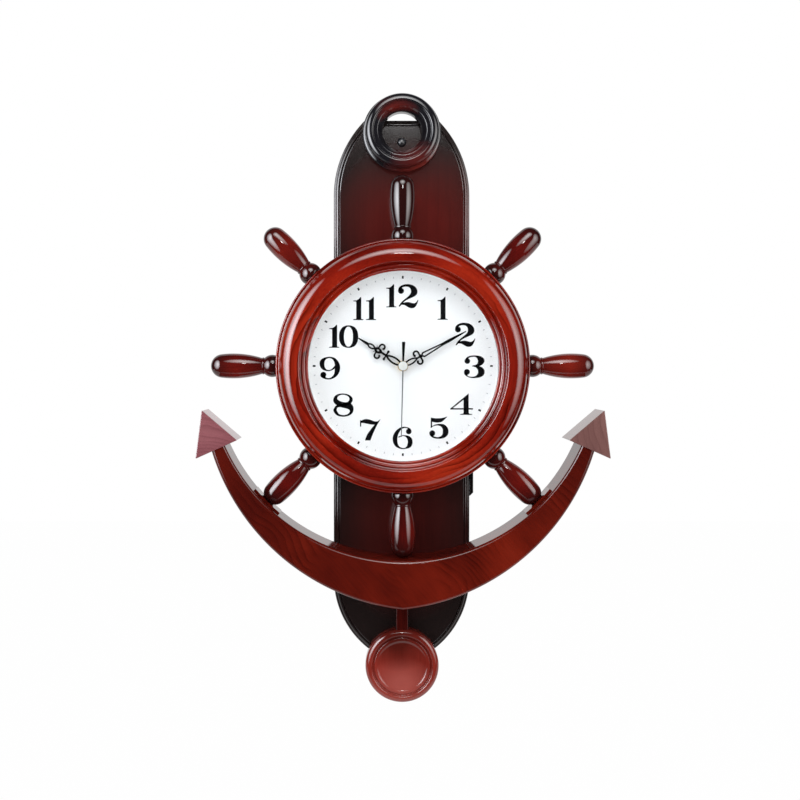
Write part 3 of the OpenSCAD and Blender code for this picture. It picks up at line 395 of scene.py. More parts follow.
def lacquer(name, tones, shade=None, coords="plank", coat=0.045, gloss=1.0, **figure):
    """Stained wood under sprayed, polished lacquer. `shade` may change the stain by place: sprayed
    shading on some pieces, painted shade and light on others.
    """
    material, tree, shader = finish(name, (0.1, 0.02, 0.01, 1), 0.5, Coat_Weight=gloss,
                                    Coat_Roughness=coat, Coat_IOR=1.5, Specular_IOR_Level=0.0)
    if coords == "plank":
        source = add(tree, "Attribute", attribute_name="plank").outputs["Vector"]
    else:
        source = place(tree)
    colour, height = grain(tree, source, tones, **figure)
    if shade:
        colour = shade(tree, colour, place(tree))
    tree.links.new(colour, shader.inputs["Base Color"])
    relief(tree, shader, height, 0.06, 0.0004)
    relief(tree, shader, noise(tree, source, 55.0, 1.0), 0.05, 0.0006, "Coat Normal")
    return material


def dress(piece, material, body, slot, *replaced):
    """Gives a piece its finish and tells the frame what it moves with and stands for."""
    piece.data.materials.clear()
    piece.data.materials.append(material)
    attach(piece, body)
    if replaced:
        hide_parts(*replaced)
    return piece


def paint(material, *names):
    """Gives pieces that keep their modelled shape a better finish."""
    for name in names:
        for slot in nodes[name].material_slots:
            slot.material = material


BOARD_HALF, BOARD_TOP, BOARD_FOOT = 71.0, 256.9, 296.0
SHOULDER_AT, SHOULDER_R, FOOT_AT, FOOT_R = 177.9, 113.0, 222.0, 94.0
PANEL_D = 18.0


def board_outline(margin):
    """The board's outline drawn in by a margin: a flat top, two shoulder arcs about a centre on the
    far side, straight edges, two tighter arcs and a flat foot."""
    half, top, foot = BOARD_HALF - margin, BOARD_TOP - margin, BOARD_FOOT - margin
    upper, lower = SHOULDER_R - margin, FOOT_R - margin
    high = np.linspace(math.asin((top - SHOULDER_AT) / upper), 0, 25)
    low = np.linspace(0, -math.asin((foot - FOOT_AT) / lower), 25)
    right = np.vstack([
        np.column_stack([np.cos(high), np.sin(high)]) * upper + (BOARD_HALF - SHOULDER_R, SHOULDER_AT),
        np.column_stack([np.full(7, half), np.linspace(SHOULDER_AT, -FOOT_AT, 9)[1:-1]]),
        np.column_stack([np.cos(low), np.sin(low)]) * lower + (BOARD_HALF - FOOT_R, -FOOT_AT),
    ])
    return np.vstack([right, (right * (-1, 1))[::-1]])


def board_shade(tree, colour, spot):
    """Sprayed shading: black all round, with two soft red fields over and under the wheel."""
    upper = glow(tree, spot, (0.010, -0.018, -0.062), (0.095, 0.022, 0.112))
    lower = glow(tree, spot, (0.004, -0.018, -0.365), (0.085, 0.022, 0.11))
    share = calc(tree, "MAXIMUM", upper, calc(tree, "MULTIPLY", lower, 0.62))
    return blend(tree, rise(tree, share, 0.05, 0.65), linear(34, 26, 25), colour)


def cut(piece, *tools):
    """Cuts closed shapes out of a piece, and removes the shapes."""
    piece.modifiers.clear()
    for tool in tools:
        knife = piece.modifiers.new("cut", "BOOLEAN")
        knife.operation, knife.object, knife.solver = "DIFFERENCE", tool, "EXACT"
    whole = piece.evaluated_get(bpy.context.evaluated_depsgraph_get())
    mesh = bpy.data.meshes.new_from_object(whole)
    piece.modifiers.clear()
    piece.data = mesh
    for tool in tools:
        bpy.data.objects.remove(tool)
    return tidy(piece)


def box_outline(x0, x1, low, high, corner):
    """Outline of a rounded rectangle drawn in by a margin."""
    return lambda margin: rounded([
        (x0 + margin, low + margin, corner), (x1 - margin, low + margin, corner),
        (x1 - margin, high - margin, corner), (x0 + margin, high - margin, corner)], closed=True)


def disc_outline(x, height, radius):
    """Outline of a disc drawn in by a margin."""
    turn = np.linspace(0, 2 * math.pi, 24, endpoint=False)
    return lambda margin: np.column_stack([x + (radius - margin) * np.cos(turn),
                                           height + (radius - margin) * np.sin(turn)])


SCREW_SPOTS = [(side * x, height) for x, height in (
    (46, 107.85), (46, -107.85), (30.25, 238.4), (40, -212.24), (12, -283.8)) for side in (1, -1)]
SCREW_R, ACCESS_HALF = 3.8, 42
board = raised("long_board", board_outline, [
    (0.6, 0), (0.0, 0.6), (0, 12.6), (0.25, 13.5), (0.9, 14.1), (1.7, 14.3), (2.1, 14.35), (2.5, 14.6),
    (2.7, 15.15), (3.1, 15.6), (3.7, 15.95), (4.4, 16.2), (5.0, 16.3), (5.25, 16.25), (5.4, 15.4),
    (5.9, 15.2), (6.2, 15.5), (6.3, 17.2), (6.5, 17.75), (7.1, PANEL_D)], crease=40)
cut(board,
    raised("tool_access", box_outline(-ACCESS_HALF, ACCESS_HALF, -ACCESS_HALF, ACCESS_HALF, 8),
           [(0, -2), (0, 20)]),
    raised("tool_plate", box_outline(-12.1, 12.1, AXIS - 19.6, AXIS + 29.1, 4), [(0, -2), (0, 1.6)]),
    raised("tool_pocket", box_outline(-7.5, 7.5, AXIS - 7.5, AXIS + 19.5, 7.4), [(0, -2), (0, 10.5)]))
cut(board, *[raised("tool_screw", disc_outline(*spot, SCREW_R), [(0, -2), (0, 0.4), (SCREW_R / 2, 2.4)])
             for spot in SCREW_SPOTS])
lay_grain(board, upright)
BOARD_STAIN = shades((0.40, 70, 17, 15), (0.62, 90, 24, 20), (0.85, 100, 29, 24))
dress(board, lacquer("board_lacquer", BOARD_STAIN, board_shade, coat=0.14, pitch=0.011, lines=0.12),
      "clock", "dark_lacquer", "back_board")


# ---------------------------------------------------------------------------------------------
# Block on the board's right edge: a small dark block with a slanted foot, flat on the edge.
def inset(corners, margin):
    """A convex outline, counter-clockwise, drawn in: every side moves inwards by the margin, and
    each new corner lies where two neighbouring sides cross."""
    corners = np.array(corners, float)
    sides = np.roll(corners, -1, axis=0) - corners
    sides /= np.linalg.norm(sides, axis=1)[:, None]
    inward = np.column_stack([-sides[:, 1], sides[:, 0]])
    before, after = np.roll(inward, 1, axis=0), inward
    return corners + margin * (before + after) / (1 + (before * after).sum(1))[:, None]


def polygon_outline(corners, radius):
    """Outline of a polygon with rounded corners, drawn in by a margin."""
    return lambda margin: rounded([(*c, radius) for c in inset(corners, margin)], closed=True)


edge_block = raised(
    "edge_block", polygon_outline([(71, -136.6), (75, -132.6), (75, -60.6), (71, -60.6)], 0.4),
    [(0.3, 4), (0, 4.3), (0, 13.4), (0.2, 13.8), (0.6, 14)])
lay_grain(edge_block, upright)
BLACK_STAIN = shades((0.42, 20, 18, 19), (0.62, 27, 24, 25), (0.85, 38, 31, 30))
dress(edge_block, lacquer("block_lacquer", BLACK_STAIN, lines=0.3, coat=0.15),
      "clock", "drum_lacquer", "side_block")


# ---------------------------------------------------------------------------------------------
# Ring of the anchor: turned from one piece, with a flange on the board, a fat rounded body, an
# inner step and a flared eye. It is sprayed black, and the red stain shows at its lower right.
def turned(name, profile, height=0.0, closed=True, count=160):
    """Solid turned about a line along the depth: the profile's point at (radius, depth) goes round
    the circle (radius sin t, depth, height + radius cos t)."""
    turn = np.linspace(0, 2 * math.pi, count, endpoint=False)
    radius, depth = np.asarray(profile, float).T
    grid = np.stack([np.outer(radius, np.sin(turn)), np.repeat(depth[:, None], count, axis=1),
                     height + np.outer(radius, np.cos(turn))], axis=-1)
    return skin(name, grid, along=closed)


RING_HEIGHT = 242.4
ring = turned("top_ring", rounded([
    (20.4, PANEL_D, 0.6), (40.7, PANEL_D, 0.5), (40.7, 23.8, 2.3), (38.4, 24.9, 0.5), (38.1, 42, 6.2),
    (30.3, 42, 1.9), (29.9, 39.3, 0.6), (25.6, 39.2, 1.3), (23.6, 37.0, 1.0), (20.4, 31.0, 3.0)],
    closed=True), RING_HEIGHT)
lay_grain(ring)


def ring_shade(tree, colour, spot):
    """Black over the stain, which comes through in a soft field at the foot and inside the eye."""
    foot = glow(tree, spot, (0.020, -0.020, 0.012), (0.050, 0.05, 0.034), 0.7)
    eye = glow(tree, spot, (-0.006, -0.038, 0.066), (0.034, 0.010, 0.022), 0.9)
    share = calc(tree, "MAXIMUM", foot, eye)
    return blend(tree, rise(tree, share, 0.3, 0.95), linear(27, 26, 30), colour)


RED_STAIN = shades((0.42, 96, 16, 10), (0.60, 134, 28, 15), (0.74, 158, 40, 20), (0.9, 166, 50, 27))
RING_STAIN = shades((0.42, 84, 22, 18), (0.62, 112, 34, 28), (0.85, 128, 48, 40))
dress(ring, lacquer("ring_lacquer", RING_STAIN, ring_shade), "clock", "dark_lacquer", "anchor_ring")


def speckled(name, colour, roughness, size=900.0, strength=0.3, wear=0.05, **sockets):
    """Moulded or cast surface: its colour, as on a screen, varies a little in soft clouds, and it
    has a fine relief with so many grains to the metre."""
    colour = linear(*colour)
    material, tree, shader = finish(name, colour, roughness, **sockets)
    soft = noise(tree, place(tree), 35.0, 2.0)
    low, high = (tuple(min(1, c * f) for c in colour[:3]) + (1,) for f in (1 - wear, 1 + wear))
    tree.links.new(ramp(tree, soft, [(0.35, low), (0.65, high)]), shader.inputs["Base Color"])
    rough = add(tree, "MapRange", {"Value": soft, "From Min": 0.3, "From Max": 0.7,
                                   "To Min": roughness * 0.85, "To Max": min(1, roughness * 1.15)})
    tree.links.new(rough.outputs[0], shader.inputs["Roughness"])
    relief(tree, shader, noise(tree, place(tree), size, 3.0), strength, 0.00008)
    return material


# Stud seen through the ring's eye: a domed, blackened screw cover on the board.
paint(speckled("stud_black", (34, 36, 40), 0.45, size=500.0, wear=0.25, Coat_Weight=0.7,
               Coat_Roughness=0.2), "board_stud")


# ---------------------------------------------------------------------------------------------
# Drum of the wheel: turned from a glued ring of segments, open at the back, with a flange in front
# that carries the dial. It is stained dark, and a thin hardboard panel closes its back.
DRUM_R, DRUM_D = 121.5, 54.0
drum = turned("wheel_drum", rounded([
    (113, PANEL_D, 0.3), (DRUM_R, PANEL_D, 1.6), (DRUM_R, DRUM_D, 0.3), (94.5, DRUM_D, 0.4),
    (94.5, DRUM_D - 5, 0.4), (109.5, DRUM_D - 5, 0), (109.5, 21, 0), (113, 21, 0)], closed=True))


def round_grain(spots):
    """Grain that follows the round without a seam: the first two coordinates go once about a small
    circle as the angle goes about the axis, and the third is the distance from it."""
    angle = np.arctan2(spots[:, 0], spots[:, 2])
    return np.column_stack([0.06 * np.cos(angle), 0.06 * np.sin(angle) + 0.5 * spots[:, 1],
                            np.hypot(spots[:, 0], spots[:, 2]) + 0.4 * spots[:, 1]])


lay_grain(drum, round_grain)
DARK_STAIN = shades((0.42, 38, 8, 7), (0.62, 72, 16, 12), (0.85, 92, 24, 18))
dress(drum, lacquer("drum_lacquer", DARK_STAIN, coat=0.12, stretch=1.0), "clock", "drum_lacquer", "case_drum")

hardboard, tree, shader = finish("hardboard", linear(150, 112, 74), 0.8)
felted = noise(tree, place(tree), 420.0, 4.0, Roughness=0.7)
share = calc(tree, "MULTIPLY_ADD", felted, 0.6, noise(tree, place(tree), 22.0, 2.0))
felt = ramp(tree, share, shades((0.55, 112, 80, 50), (0.8, 150, 113, 76), (1.05, 176, 140, 98)))
tree.links.new(felt, shader.inputs["Base Color"])
relief(tree, shader, felted, 0.25, 0.0003)
paint(hardboard, "case_back")


# ---------------------------------------------------------------------------------------------
# Handles: eight turned spindles, each with a tenon in the drum, a ball, a small collar, a neck and
# a grip that swells and ends in a dome. Sprayed almost black at the ball and at the tip.
BALL_R, BALL_AT, NECK_R, NECK_AT, GRIP_R, BELLY_AT, TIP_AT = 11.5, 133.1, 8.0, 142.9, 12.8, 173.1, 196.0
HANDLE_D, BALL_LOW = 41.6, 120.0


def spindle_profile():
    """(radius, distance from the wheel's axis): a tenon, a ball's arc, a collar's bead, then one
    long arc for the grip that runs into a smaller arc for the domed end."""
    turn = np.radians(np.linspace(27, 135, 22))
    ball = np.column_stack([BALL_R * np.sin(turn[::-1]), BALL_AT + BALL_R * np.cos(turn[::-1])])
    bead = rounded([(NECK_R - 1.1, NECK_AT - 1.6, 0), (NECK_R + 0.75, NECK_AT - 1.6, 0.7),
                    (NECK_R + 0.75, NECK_AT + 0.3, 0.7), (NECK_R - 0.1, NECK_AT + 0.5, 0)])
    arc = ((BELLY_AT - NECK_AT) ** 2 + (GRIP_R - NECK_R) ** 2) / (2 * (GRIP_R - NECK_R))
    reach = TIP_AT - BELLY_AT
    dome = (arc ** 2 - (arc - GRIP_R) ** 2 - reach ** 2) / (2 * (arc - reach))
    middle = TIP_AT - dome
    join = BELLY_AT + (middle - BELLY_AT) * arc / (arc - dome)
    up = np.linspace(NECK_AT + 0.6, join, 34)
    grip = np.column_stack([GRIP_R - arc + np.sqrt(arc ** 2 - (up - BELLY_AT) ** 2), up])
    start = math.atan2(grip[-1, 0], join - middle)
    turn = np.linspace(start, 0, 14)[1:]
    end = np.column_stack([dome * np.sin(turn), middle + dome * np.cos(turn)])
    root = [(0, 110), (5, 110), (5, BALL_AT - BALL_R)]
    return np.vstack([root, ball, bead, grip, end])


def spindle(name, angle, count=56):
    """The profile turned about a line that leaves the axis at an angle, clockwise from twelve. How
    far up each point stands, and the plank it comes from, are kept for the finish."""
    profile = spindle_profile()
    turn = np.linspace(0, 2 * math.pi, count, endpoint=False)
    side, depth = np.outer(profile[:, 0], np.cos(turn)), HANDLE_D + np.outer(profile[:, 0], np.sin(turn))
    up = np.repeat(profile[:, 1:], count, axis=1)
    a, turns = math.radians(angle), angle / 45
    piece = skin(name, np.stack([side * math.cos(a) + up * math.sin(a), depth,
                                 up * math.cos(a) - side * math.sin(a)], axis=-1))
    # each handle is cut from another place in the plank
    lay_grain(piece, lambda spots: np.column_stack([
        spots[:, 0] * math.sin(a) + spots[:, 2] * math.cos(a) + 0.31 * turns,
        spots[:, 1] + 0.009 * turns, spots[:, 0] * math.cos(a) - spots[:, 2] * math.sin(a)]))
    x, _, z = (points_of(piece.data) + (0, 0, AXIS / 1000)).T
    kept = piece.data.attributes.new("up", "FLOAT", "POINT")
    height = (x * math.sin(a) + z * math.cos(a)) * 1000 if angle else np.full(len(x), BALL_LOW)
    kept.data.foreach_set("value", height.astype(np.float32))
    return piece


def spindle_shade(tree, colour, spot):
    """Nearly black at the ball and again at the dome. The upright handle is so from end to end."""
    up = add(tree, "Attribute", attribute_name="up").outputs["Fac"]
    mask = ramp(tree, rise(tree, up, BALL_LOW, 200.0), shades(
        (0.12, 100, 100, 100), (0.32, 215, 215, 215), (0.62, 255, 255, 255), (0.95, 70, 70, 70)))
    return blend(tree, mask, linear(24, 15, 15), colour)


GRIP_STAIN = shades((0.42, 62, 12, 11), (0.62, 98, 20, 16), (0.85, 126, 34, 24))
spindle_lacquer = lacquer("handle_lacquer", GRIP_STAIN, spindle_shade, pitch=0.005, lines=0.25, coat=0.03)
for angle in range(0, 360, 45):
    dress(spindle(f"spindle_{angle}", angle), spindle_lacquer, "clock", "handle_lacquer", f"handle_{angle}")


# ---------------------------------------------------------------------------------------------
# Rim of the wheel: turned from eight glued segments, so its grain follows the round. From outside
# in: a lip, a groove, a bead, the tall rounded crown, a step, a second bead and the lip over the glass.
def arc(radius, depth, size, first, last, count):
    """Points of an arc about (radius, depth), between two angles in degrees from the outside."""
    turn = np.radians(np.linspace(first, last, count))
    return np.column_stack([radius + size * np.cos(turn), depth + size * np.sin(turn)])


OPENING_R, RIM_R = 95.2, 129.0
rim = turned("wheel_rim", np.vstack([
    [(101, DRUM_D), (RIM_R - 0.4, DRUM_D), (RIM_R, DRUM_D + 0.4)],
    arc(127.5, 56.4, 1.5, 0, 100, 8), [(126.6, 57.2), (126.35, 57.0)],
    arc(124.9, 57.9, 1.45, -28, 178, 14), [(123.35, 57.6)],
    arc(110, 67.4, 14.6, -35, 104, 46),
    arc(105.4, 79.9, 1.7, 100, 176, 8), [(103.65, 74.2), (103.3, 73.5), (102.6, 73.2)],
    arc(101, 73.1, 1.4, 12, 172, 11), [(99.4, 72.6), (98.3, 72.0)],
    arc(96.75, 71.6, 1.5, 20, 176, 12), [(OPENING_R, 71.3), (OPENING_R, 69.6), (101, 69.6)]]), count=224)
lay_grain(rim, round_grain)
dress(rim, lacquer("rim_lacquer", RED_STAIN, pitch=0.0075, bend=6.0, stretch=1.0, lines=0.85, calm=0.36),
      "clock", "red_lacquer", "bezel")


# ---------------------------------------------------------------------------------------------
# Glass and the white ring behind it: a flat clear pane in the rim's rabbet, coated so that it
# mirrors little, and held off the dial by a moulded ring.
glass, tree, shader = finish("clear_glass", (1, 1, 1, 1), 0.0, IOR=1.45, Transmission_Weight=1.0)
clear = add(tree, "BsdfTransparent", {"Color": (0.97, 0.98, 0.98, 1)})
rays = add(tree, "LightPath").outputs
share = calc(tree, "MAXIMUM", calc(tree, "MAXIMUM", rays["Is Shadow Ray"], rays["Is Diffuse Ray"]), 0.95)
both = add(tree, "MixShader", {0: share, 1: shader.outputs[0], 2: clear.outputs[0]})
tree.links.new(both.outputs[0], tree.nodes["Material Output"].inputs["Surface"])
paint(glass, "glass")
paint(speckled("white_moulding", (236, 236, 234), 0.5), "spacer_ring")


# ---------------------------------------------------------------------------------------------
# Dial: a sheet printed white, with bold black numbers, a dot at every hour and faint minute strokes
# between them. The ink stands a hair over the sheet.
paint(speckled("dial_white", (250, 250, 252), 0.55, wear=0.01, strength=0.1), "dial_plate")
DIAL_D, INK = DRUM_D + 1.5, 0.05


def smooth(points, closed=False):
    """Curve through points: between two of them it is the cubic whose slope at either end is half
    the step from the point before to the point after."""
    points = np.asarray(points, float)
    ends = (points[-1:], points[:2]) if closed else (points[:1], points[-1:])
    padded = np.vstack([ends[0], points, ends[1]])
    a, b, c, d = padded[:-3], padded[1:-2], padded[2:-1], padded[3:]
    t = np.linspace(0, 1, 4, endpoint=False)[:, None, None]
    curve = (2 * b + (c - a) * t + (2 * a - 5 * b + 4 * c - d) * t ** 2 + (3 * b - a - 3 * c + d) * t ** 3) / 2
    curve = curve.transpose(1, 0, 2).reshape(-1, points.shape[1])
    return curve if closed else np.vstack([curve, points[-1:]])


def ink_plate(name, outlines, bands, material):
    """Thin printed layer on the dial. An outline (x, height) becomes a closed plate. A band runs
    between two edges with as many points each, and is closed on itself where it is marked so."""
    spots, faces = [], []

    def lay_down(flat):
        """Adds a row of points on the sheet and again on top of the ink, and gives both their numbers."""
        base, n = len(spots), len(flat)
        for depth in (DIAL_D, DIAL_D + INK):
            spots.extend(np.column_stack([flat[:, 0], np.full(n, -depth), flat[:, 1] - AXIS]).tolist())
        return np.arange(base, base + n), np.arange(base + n, base + 2 * n)

    def strip(first, second, closed):
        """Quads between two rows of the same length."""
        last = None if closed else -1
        quads = [first, np.roll(first, -1), np.roll(second, -1), second]
        faces.extend(np.column_stack([row[:last] for row in quads]).tolist())

    for outline in outlines:
        low, high = lay_down(np.asarray(outline, float))
        faces.extend([low.tolist(), high[::-1].tolist()])
        strip(low, high, True)
    for left, right, closed in bands:
        (low_a, high_a), (low_b, high_b) = lay_down(left), lay_down(right)
        for pair in ((low_a, high_a), (high_a, high_b), (high_b, low_b), (low_b, low_a)):
            strip(*pair, closed)
        if not closed:
            faces.extend([[row[k] for row in (low_a, high_a, high_b, low_b)] for k in (0, -1)])
    mesh = bpy.data.meshes.new(name)
    mesh.from_pydata((np.array(spots) / 1000).tolist(), [], [[int(v) for v in face] for face in faces])
    return dress(tidy(new_object(name, mesh)), material, "clock", "dial")


def stroke_at(radius, angle, length, width):
    """A short bar along the radius, at an angle clockwise from twelve."""
    a = math.radians(angle)
    along, across = np.array([math.sin(a), math.cos(a)]), np.array([math.cos(a), -math.sin(a)])
    return [radius * along + s * along * length / 2 + t * across * width / 2
            for s, t in ((-1, -1), (-1, 1), (1, 1), (1, -1))]


TRACK_R = 89.8
black_ink = speckled("black_ink", (8, 8, 10), 0.5, wear=0.1, strength=0.05, Specular_IOR_Level=0.05)
grey_ink = speckled("grey_ink", (158, 160, 168), 0.5, wear=0.03, strength=0.05)
ink_plate("hour_dots", [stroke_at(TRACK_R, a, 2.8, 1.8) for a in range(0, 360, 30)], [], black_ink)
ink_plate("minute_strokes", [stroke_at(TRACK_R, a, 1.7, 0.6) for a in range(0, 360, 6) if a % 30], [], grey_ink)

# Numbers: a fat modern face with ball ends, thin hairlines and swelling bowls. A figure is drawn on
# its own square, in units of about a tenth of a millimetre, across and down from its upper left
# corner. It has straight outlines, bands with an outer and an inner edge (across, down, across,
# down) that may be closed on themselves, and balls (across, down, radius).
UNIT = 0.10127
FIGURES = {
    "0": ([], [([(114, 129, 163, 129), (121, 78, 169, 74), (146, 37, 184, 43), (182, 19, 196, 32),
        (210, 16, 208, 30), (238, 19, 220, 32), (274, 37, 232, 43), (299, 78, 248, 74), (306, 129, 253, 129),
        (299, 180, 248, 184), (274, 220, 232, 215), (238, 238, 220, 226), (210, 241, 208, 228),
        (182, 238, 196, 226), (146, 220, 184, 215), (121, 180, 169, 184)], True)], []),
    "1": ([[(89, 10), (89, 223), (93, 229), (110, 231), (110, 240), (10, 240), (10, 231), (34, 229),
        (39, 223), (39, 59), (34, 55), (10, 53), (10, 44), (43, 42), (64, 29), (82, 9)]], [], []),
    "2": ([], [([(134, 82, 165, 82), (142, 50, 170, 56), (166, 28, 185, 44), (205, 15, 210, 39),
        (250, 15, 240, 43), (296, 32, 259, 62), (325, 68, 264, 88), (326, 106, 258, 110),
        (304, 133, 242, 130), (260, 154, 215, 153), (215, 176, 186, 176), (182, 202, 164, 198),
        (152, 240, 139, 234)], False), ([(153, 220, 146, 239), (172, 205, 164, 223), (200, 196, 192, 222),
        (235, 193, 218, 234), (270, 201, 246, 250), (296, 205, 276, 255), (316, 193, 306, 242),
        (329, 174, 326, 209), (333, 170, 337, 177)], False)], [(164, 81, 29.5)]),
    "3": ([], [([(19, 64, 47, 64), (32, 34, 52, 43), (69, 12, 76, 26), (125, 6, 120, 20), (182, 15, 143, 35),
        (216, 44, 153, 61), (214, 78, 147, 88), (186, 106, 126, 102), (155, 117, 94, 106)], False),
        ([(94, 116, 94, 110), (125, 124, 135, 108), (145, 139, 184, 119), (154, 164, 214, 146),
        (152, 186, 220, 176), (138, 206, 202, 212), (116, 217, 156, 230), (84, 219, 94, 233),
        (56, 212, 46, 220), (44, 192, 19, 196), (41, 176, 13, 173)], False)], [(47, 63, 28),
        (43, 172, 29.5)]),
    "4": ([[(139, 214), (139, 49), (191, 6), (191, 214)], [(191, 6), (191, 29), (32, 154), (6, 159)],
        [(6, 154), (233, 154), (233, 168), (6, 168)], [(106, 212), (128, 211), (139, 203), (191, 203),
        (202, 211), (225, 212), (225, 221), (106, 221)]], [], []),
    "5": ([[(32, 18), (46, 24), (45, 104), (30, 124)]], [([(32, 18, 44, 60), (69, 24, 69, 66),
        (100, 25, 104, 68), (150, 21, 146, 58), (193, 8, 196, 11)], False), ([(30, 124, 39, 120),
        (47, 102, 53, 108), (81, 86, 81, 99), (125, 80, 109, 99), (169, 89, 134, 109), (200, 121, 149, 130),
        (209, 155, 152, 158), (200, 193, 147, 186), (166, 221, 128, 207), (113, 231, 94, 213),
        (56, 222, 67, 207), (25, 199, 54, 195), (17, 174, 50, 176)], False)], [(46, 175, 29.5)]),
    "6": ([], [([(209, 55, 182, 55), (199, 31, 177, 36), (176, 17, 164, 25), (139, 10, 136, 23),
        (95, 18, 108, 36), (51, 52, 83, 71), (27, 94, 70, 108), (20, 135, 67, 146), (29, 177, 73, 183),
        (56, 212, 89, 208), (98, 231, 112, 220), (133, 234, 133, 223)], False), ([(73, 112, 79, 119),
        (101, 98, 106, 107), (139, 94, 136, 104), (183, 102, 160, 121), (211, 127, 170, 146),
        (220, 159, 171, 171), (212, 198, 164, 199), (182, 225, 151, 216), (133, 234, 133, 223)], False)],
        [(181, 57, 28)]),
    "7": ([[(13, 25), (26, 24), (27, 53), (25, 89), (14, 89)]], [([(24, 33, 26, 52), (46, 19, 52, 53),
        (78, 12, 88, 61), (115, 19, 121, 67), (153, 34, 145, 69), (184, 36, 166, 67), (203, 27, 184, 56),
        (214, 14, 218, 18)], False), ([(218, 18, 188, 40), (189, 66, 157, 72), (159, 126, 120, 118),
        (132, 189, 85, 168), (118, 227, 62, 227)], False)], []),
    "8": ([], [([(16, 86, 56, 66), (26, 50, 63, 49), (56, 26, 82, 36), (109, 17, 110, 30), (164, 26, 145, 36),
        (200, 50, 170, 51), (211, 79, 178, 72), (199, 110, 170, 92), (166, 134, 152, 104),
        (110, 142, 115, 103), (50, 132, 83, 92), (26, 112, 62, 79)], True), ([(18, 192, 52, 190),
        (26, 162, 53, 170), (46, 136, 62, 157), (90, 122, 84, 154), (145, 114, 116, 161),
        (189, 116, 152, 169), (213, 140, 175, 180), (220, 172, 182, 193), (210, 209, 172, 214),
        (176, 238, 148, 228), (116, 250, 114, 233), (52, 236, 76, 223)], True)], []),
    "9": ([], [([(116, 9, 116, 23), (166, 19, 144, 32), (206, 56, 164, 57), (225, 107, 171, 89),
        (219, 158, 171, 134), (194, 200, 165, 180), (156, 227, 144, 209), (106, 238, 112, 224),
        (56, 226, 82, 216), (31, 208, 72, 202), (27, 192, 60, 192)], False), ([(116, 9, 116, 23),
        (62, 20, 88, 33), (28, 46, 72, 55), (19, 78, 67, 83), (28, 114, 72, 114), (56, 142, 89, 136),
        (100, 154, 114, 142), (138, 148, 141, 132), (180, 122, 172, 98)], False)], [(57, 190, 29.5)]),
}
# Each figure, and its square's upper left corner across and up from the wheel's axis
NUMBERS = [("1", -176, 826), ("2", -182, 832), ("1", 338, 702), ("2", 387, 446), ("3", 598, 112),
           ("4", 468, -268), ("5", 248, -498), ("6", -122, -598), ("7", -442, -518), ("8", -712, -258),
           ("9", -852, 102), ("1", -746, 422), ("0", -752, 422), ("1", -505, 699), ("1", -378, 699)]
outlines, bands = [], []
for figure, across, up in NUMBERS:
    straight, swelling, balls = FIGURES[figure]
    corner = np.array((across, up))
    outlines += [(corner + np.array(o) * (1, -1)) * UNIT for o in straight]
    outlines += [(corner + (x, -y) + r * np.column_stack([np.cos(t), np.sin(t)])) * UNIT
                 for x, y, r in balls for t in [np.linspace(0, 2 * math.pi, 28, endpoint=False)]]
    for edges, closed in swelling:
        edges = smooth(edges, closed)
        bands.append([(corner + edges[:, k:k + 2] * (1, -1)) * UNIT for k in (0, 2)] + [closed])
ink_plate("dial_numbers", outlines, bands, black_ink)


# ---------------------------------------------------------------------------------------------
# Hands: two stamped spade hands in glossy black, and a second hand of thin grey wire with a black
# counterweight. The second hand has a pale cap on a collar of dull gold.
hand_black = speckled("hand_black", (8, 8, 9), 0.2, strength=0.05, wear=0.15, Specular_IOR_Level=0.3)


def bolder(name, node, by):
    """A stamped hand with fuller strokes: each point of the model's hand moves outwards in the hand's
    own plane, along the mean direction of the two walls that meet there."""
    work = bmesh.new()
    work.from_mesh(nodes[node].data)
    bmesh.ops.remove_doubles(work, verts=work.verts, dist=2e-6)
    bmesh.ops.recalc_face_normals(work, faces=work.faces)
    mesh = bpy.data.meshes.new(name)
    work.to_mesh(mesh)
    work.free()
    outward = points_of(mesh, "normal") * (1, 0, 1)
    outward /= np.maximum(np.linalg.norm(outward, axis=1), 0.2)[:, None]
    mesh.vertices.foreach_set("co", (points_of(mesh) + by / 1000 * outward).ravel())
    return tidy(new_object(name, mesh))


dress(bolder("bold_hour", "hour_hand", 0.38), hand_black, "hour", "hand_black", "hour_hand")
dress(bolder("bold_minute", "minute_hand", 0.3), hand_black, "minute", "hand_black", "minute_hand")
SECOND_ANGLE, SECOND_L, TAIL_L, SECOND_D, STRIP = 181.4, 71.5, 24.4, 62.3, 0.5


def strip_hand(name, stations):
    """Flat strip along the second hand. At a distance s from the axis it is as wide as the station
    says, and its section is a rectangle whose four corners are cut off by a sixth of the width."""
    s, half = np.array(stations, float).T
    bevel = np.minimum(half / 3, STRIP / 3)
    flat, foot, top = half - bevel, SECOND_D + 0 * s, SECOND_D + STRIP + 0 * s
    across = np.column_stack([half, flat, -flat, -half, -half, -flat, flat, half])
    depth = np.column_stack([foot + bevel, foot, foot, foot + bevel, top - bevel, top, top, top - bevel])
    a = math.radians(SECOND_ANGLE)
    along = np.repeat(s[:, None], 8, axis=1)
    return skin(name, capped(np.stack([along * math.sin(a) + across * math.cos(a), depth,
                                       along * math.cos(a) - across * math.sin(a)], axis=-1)))


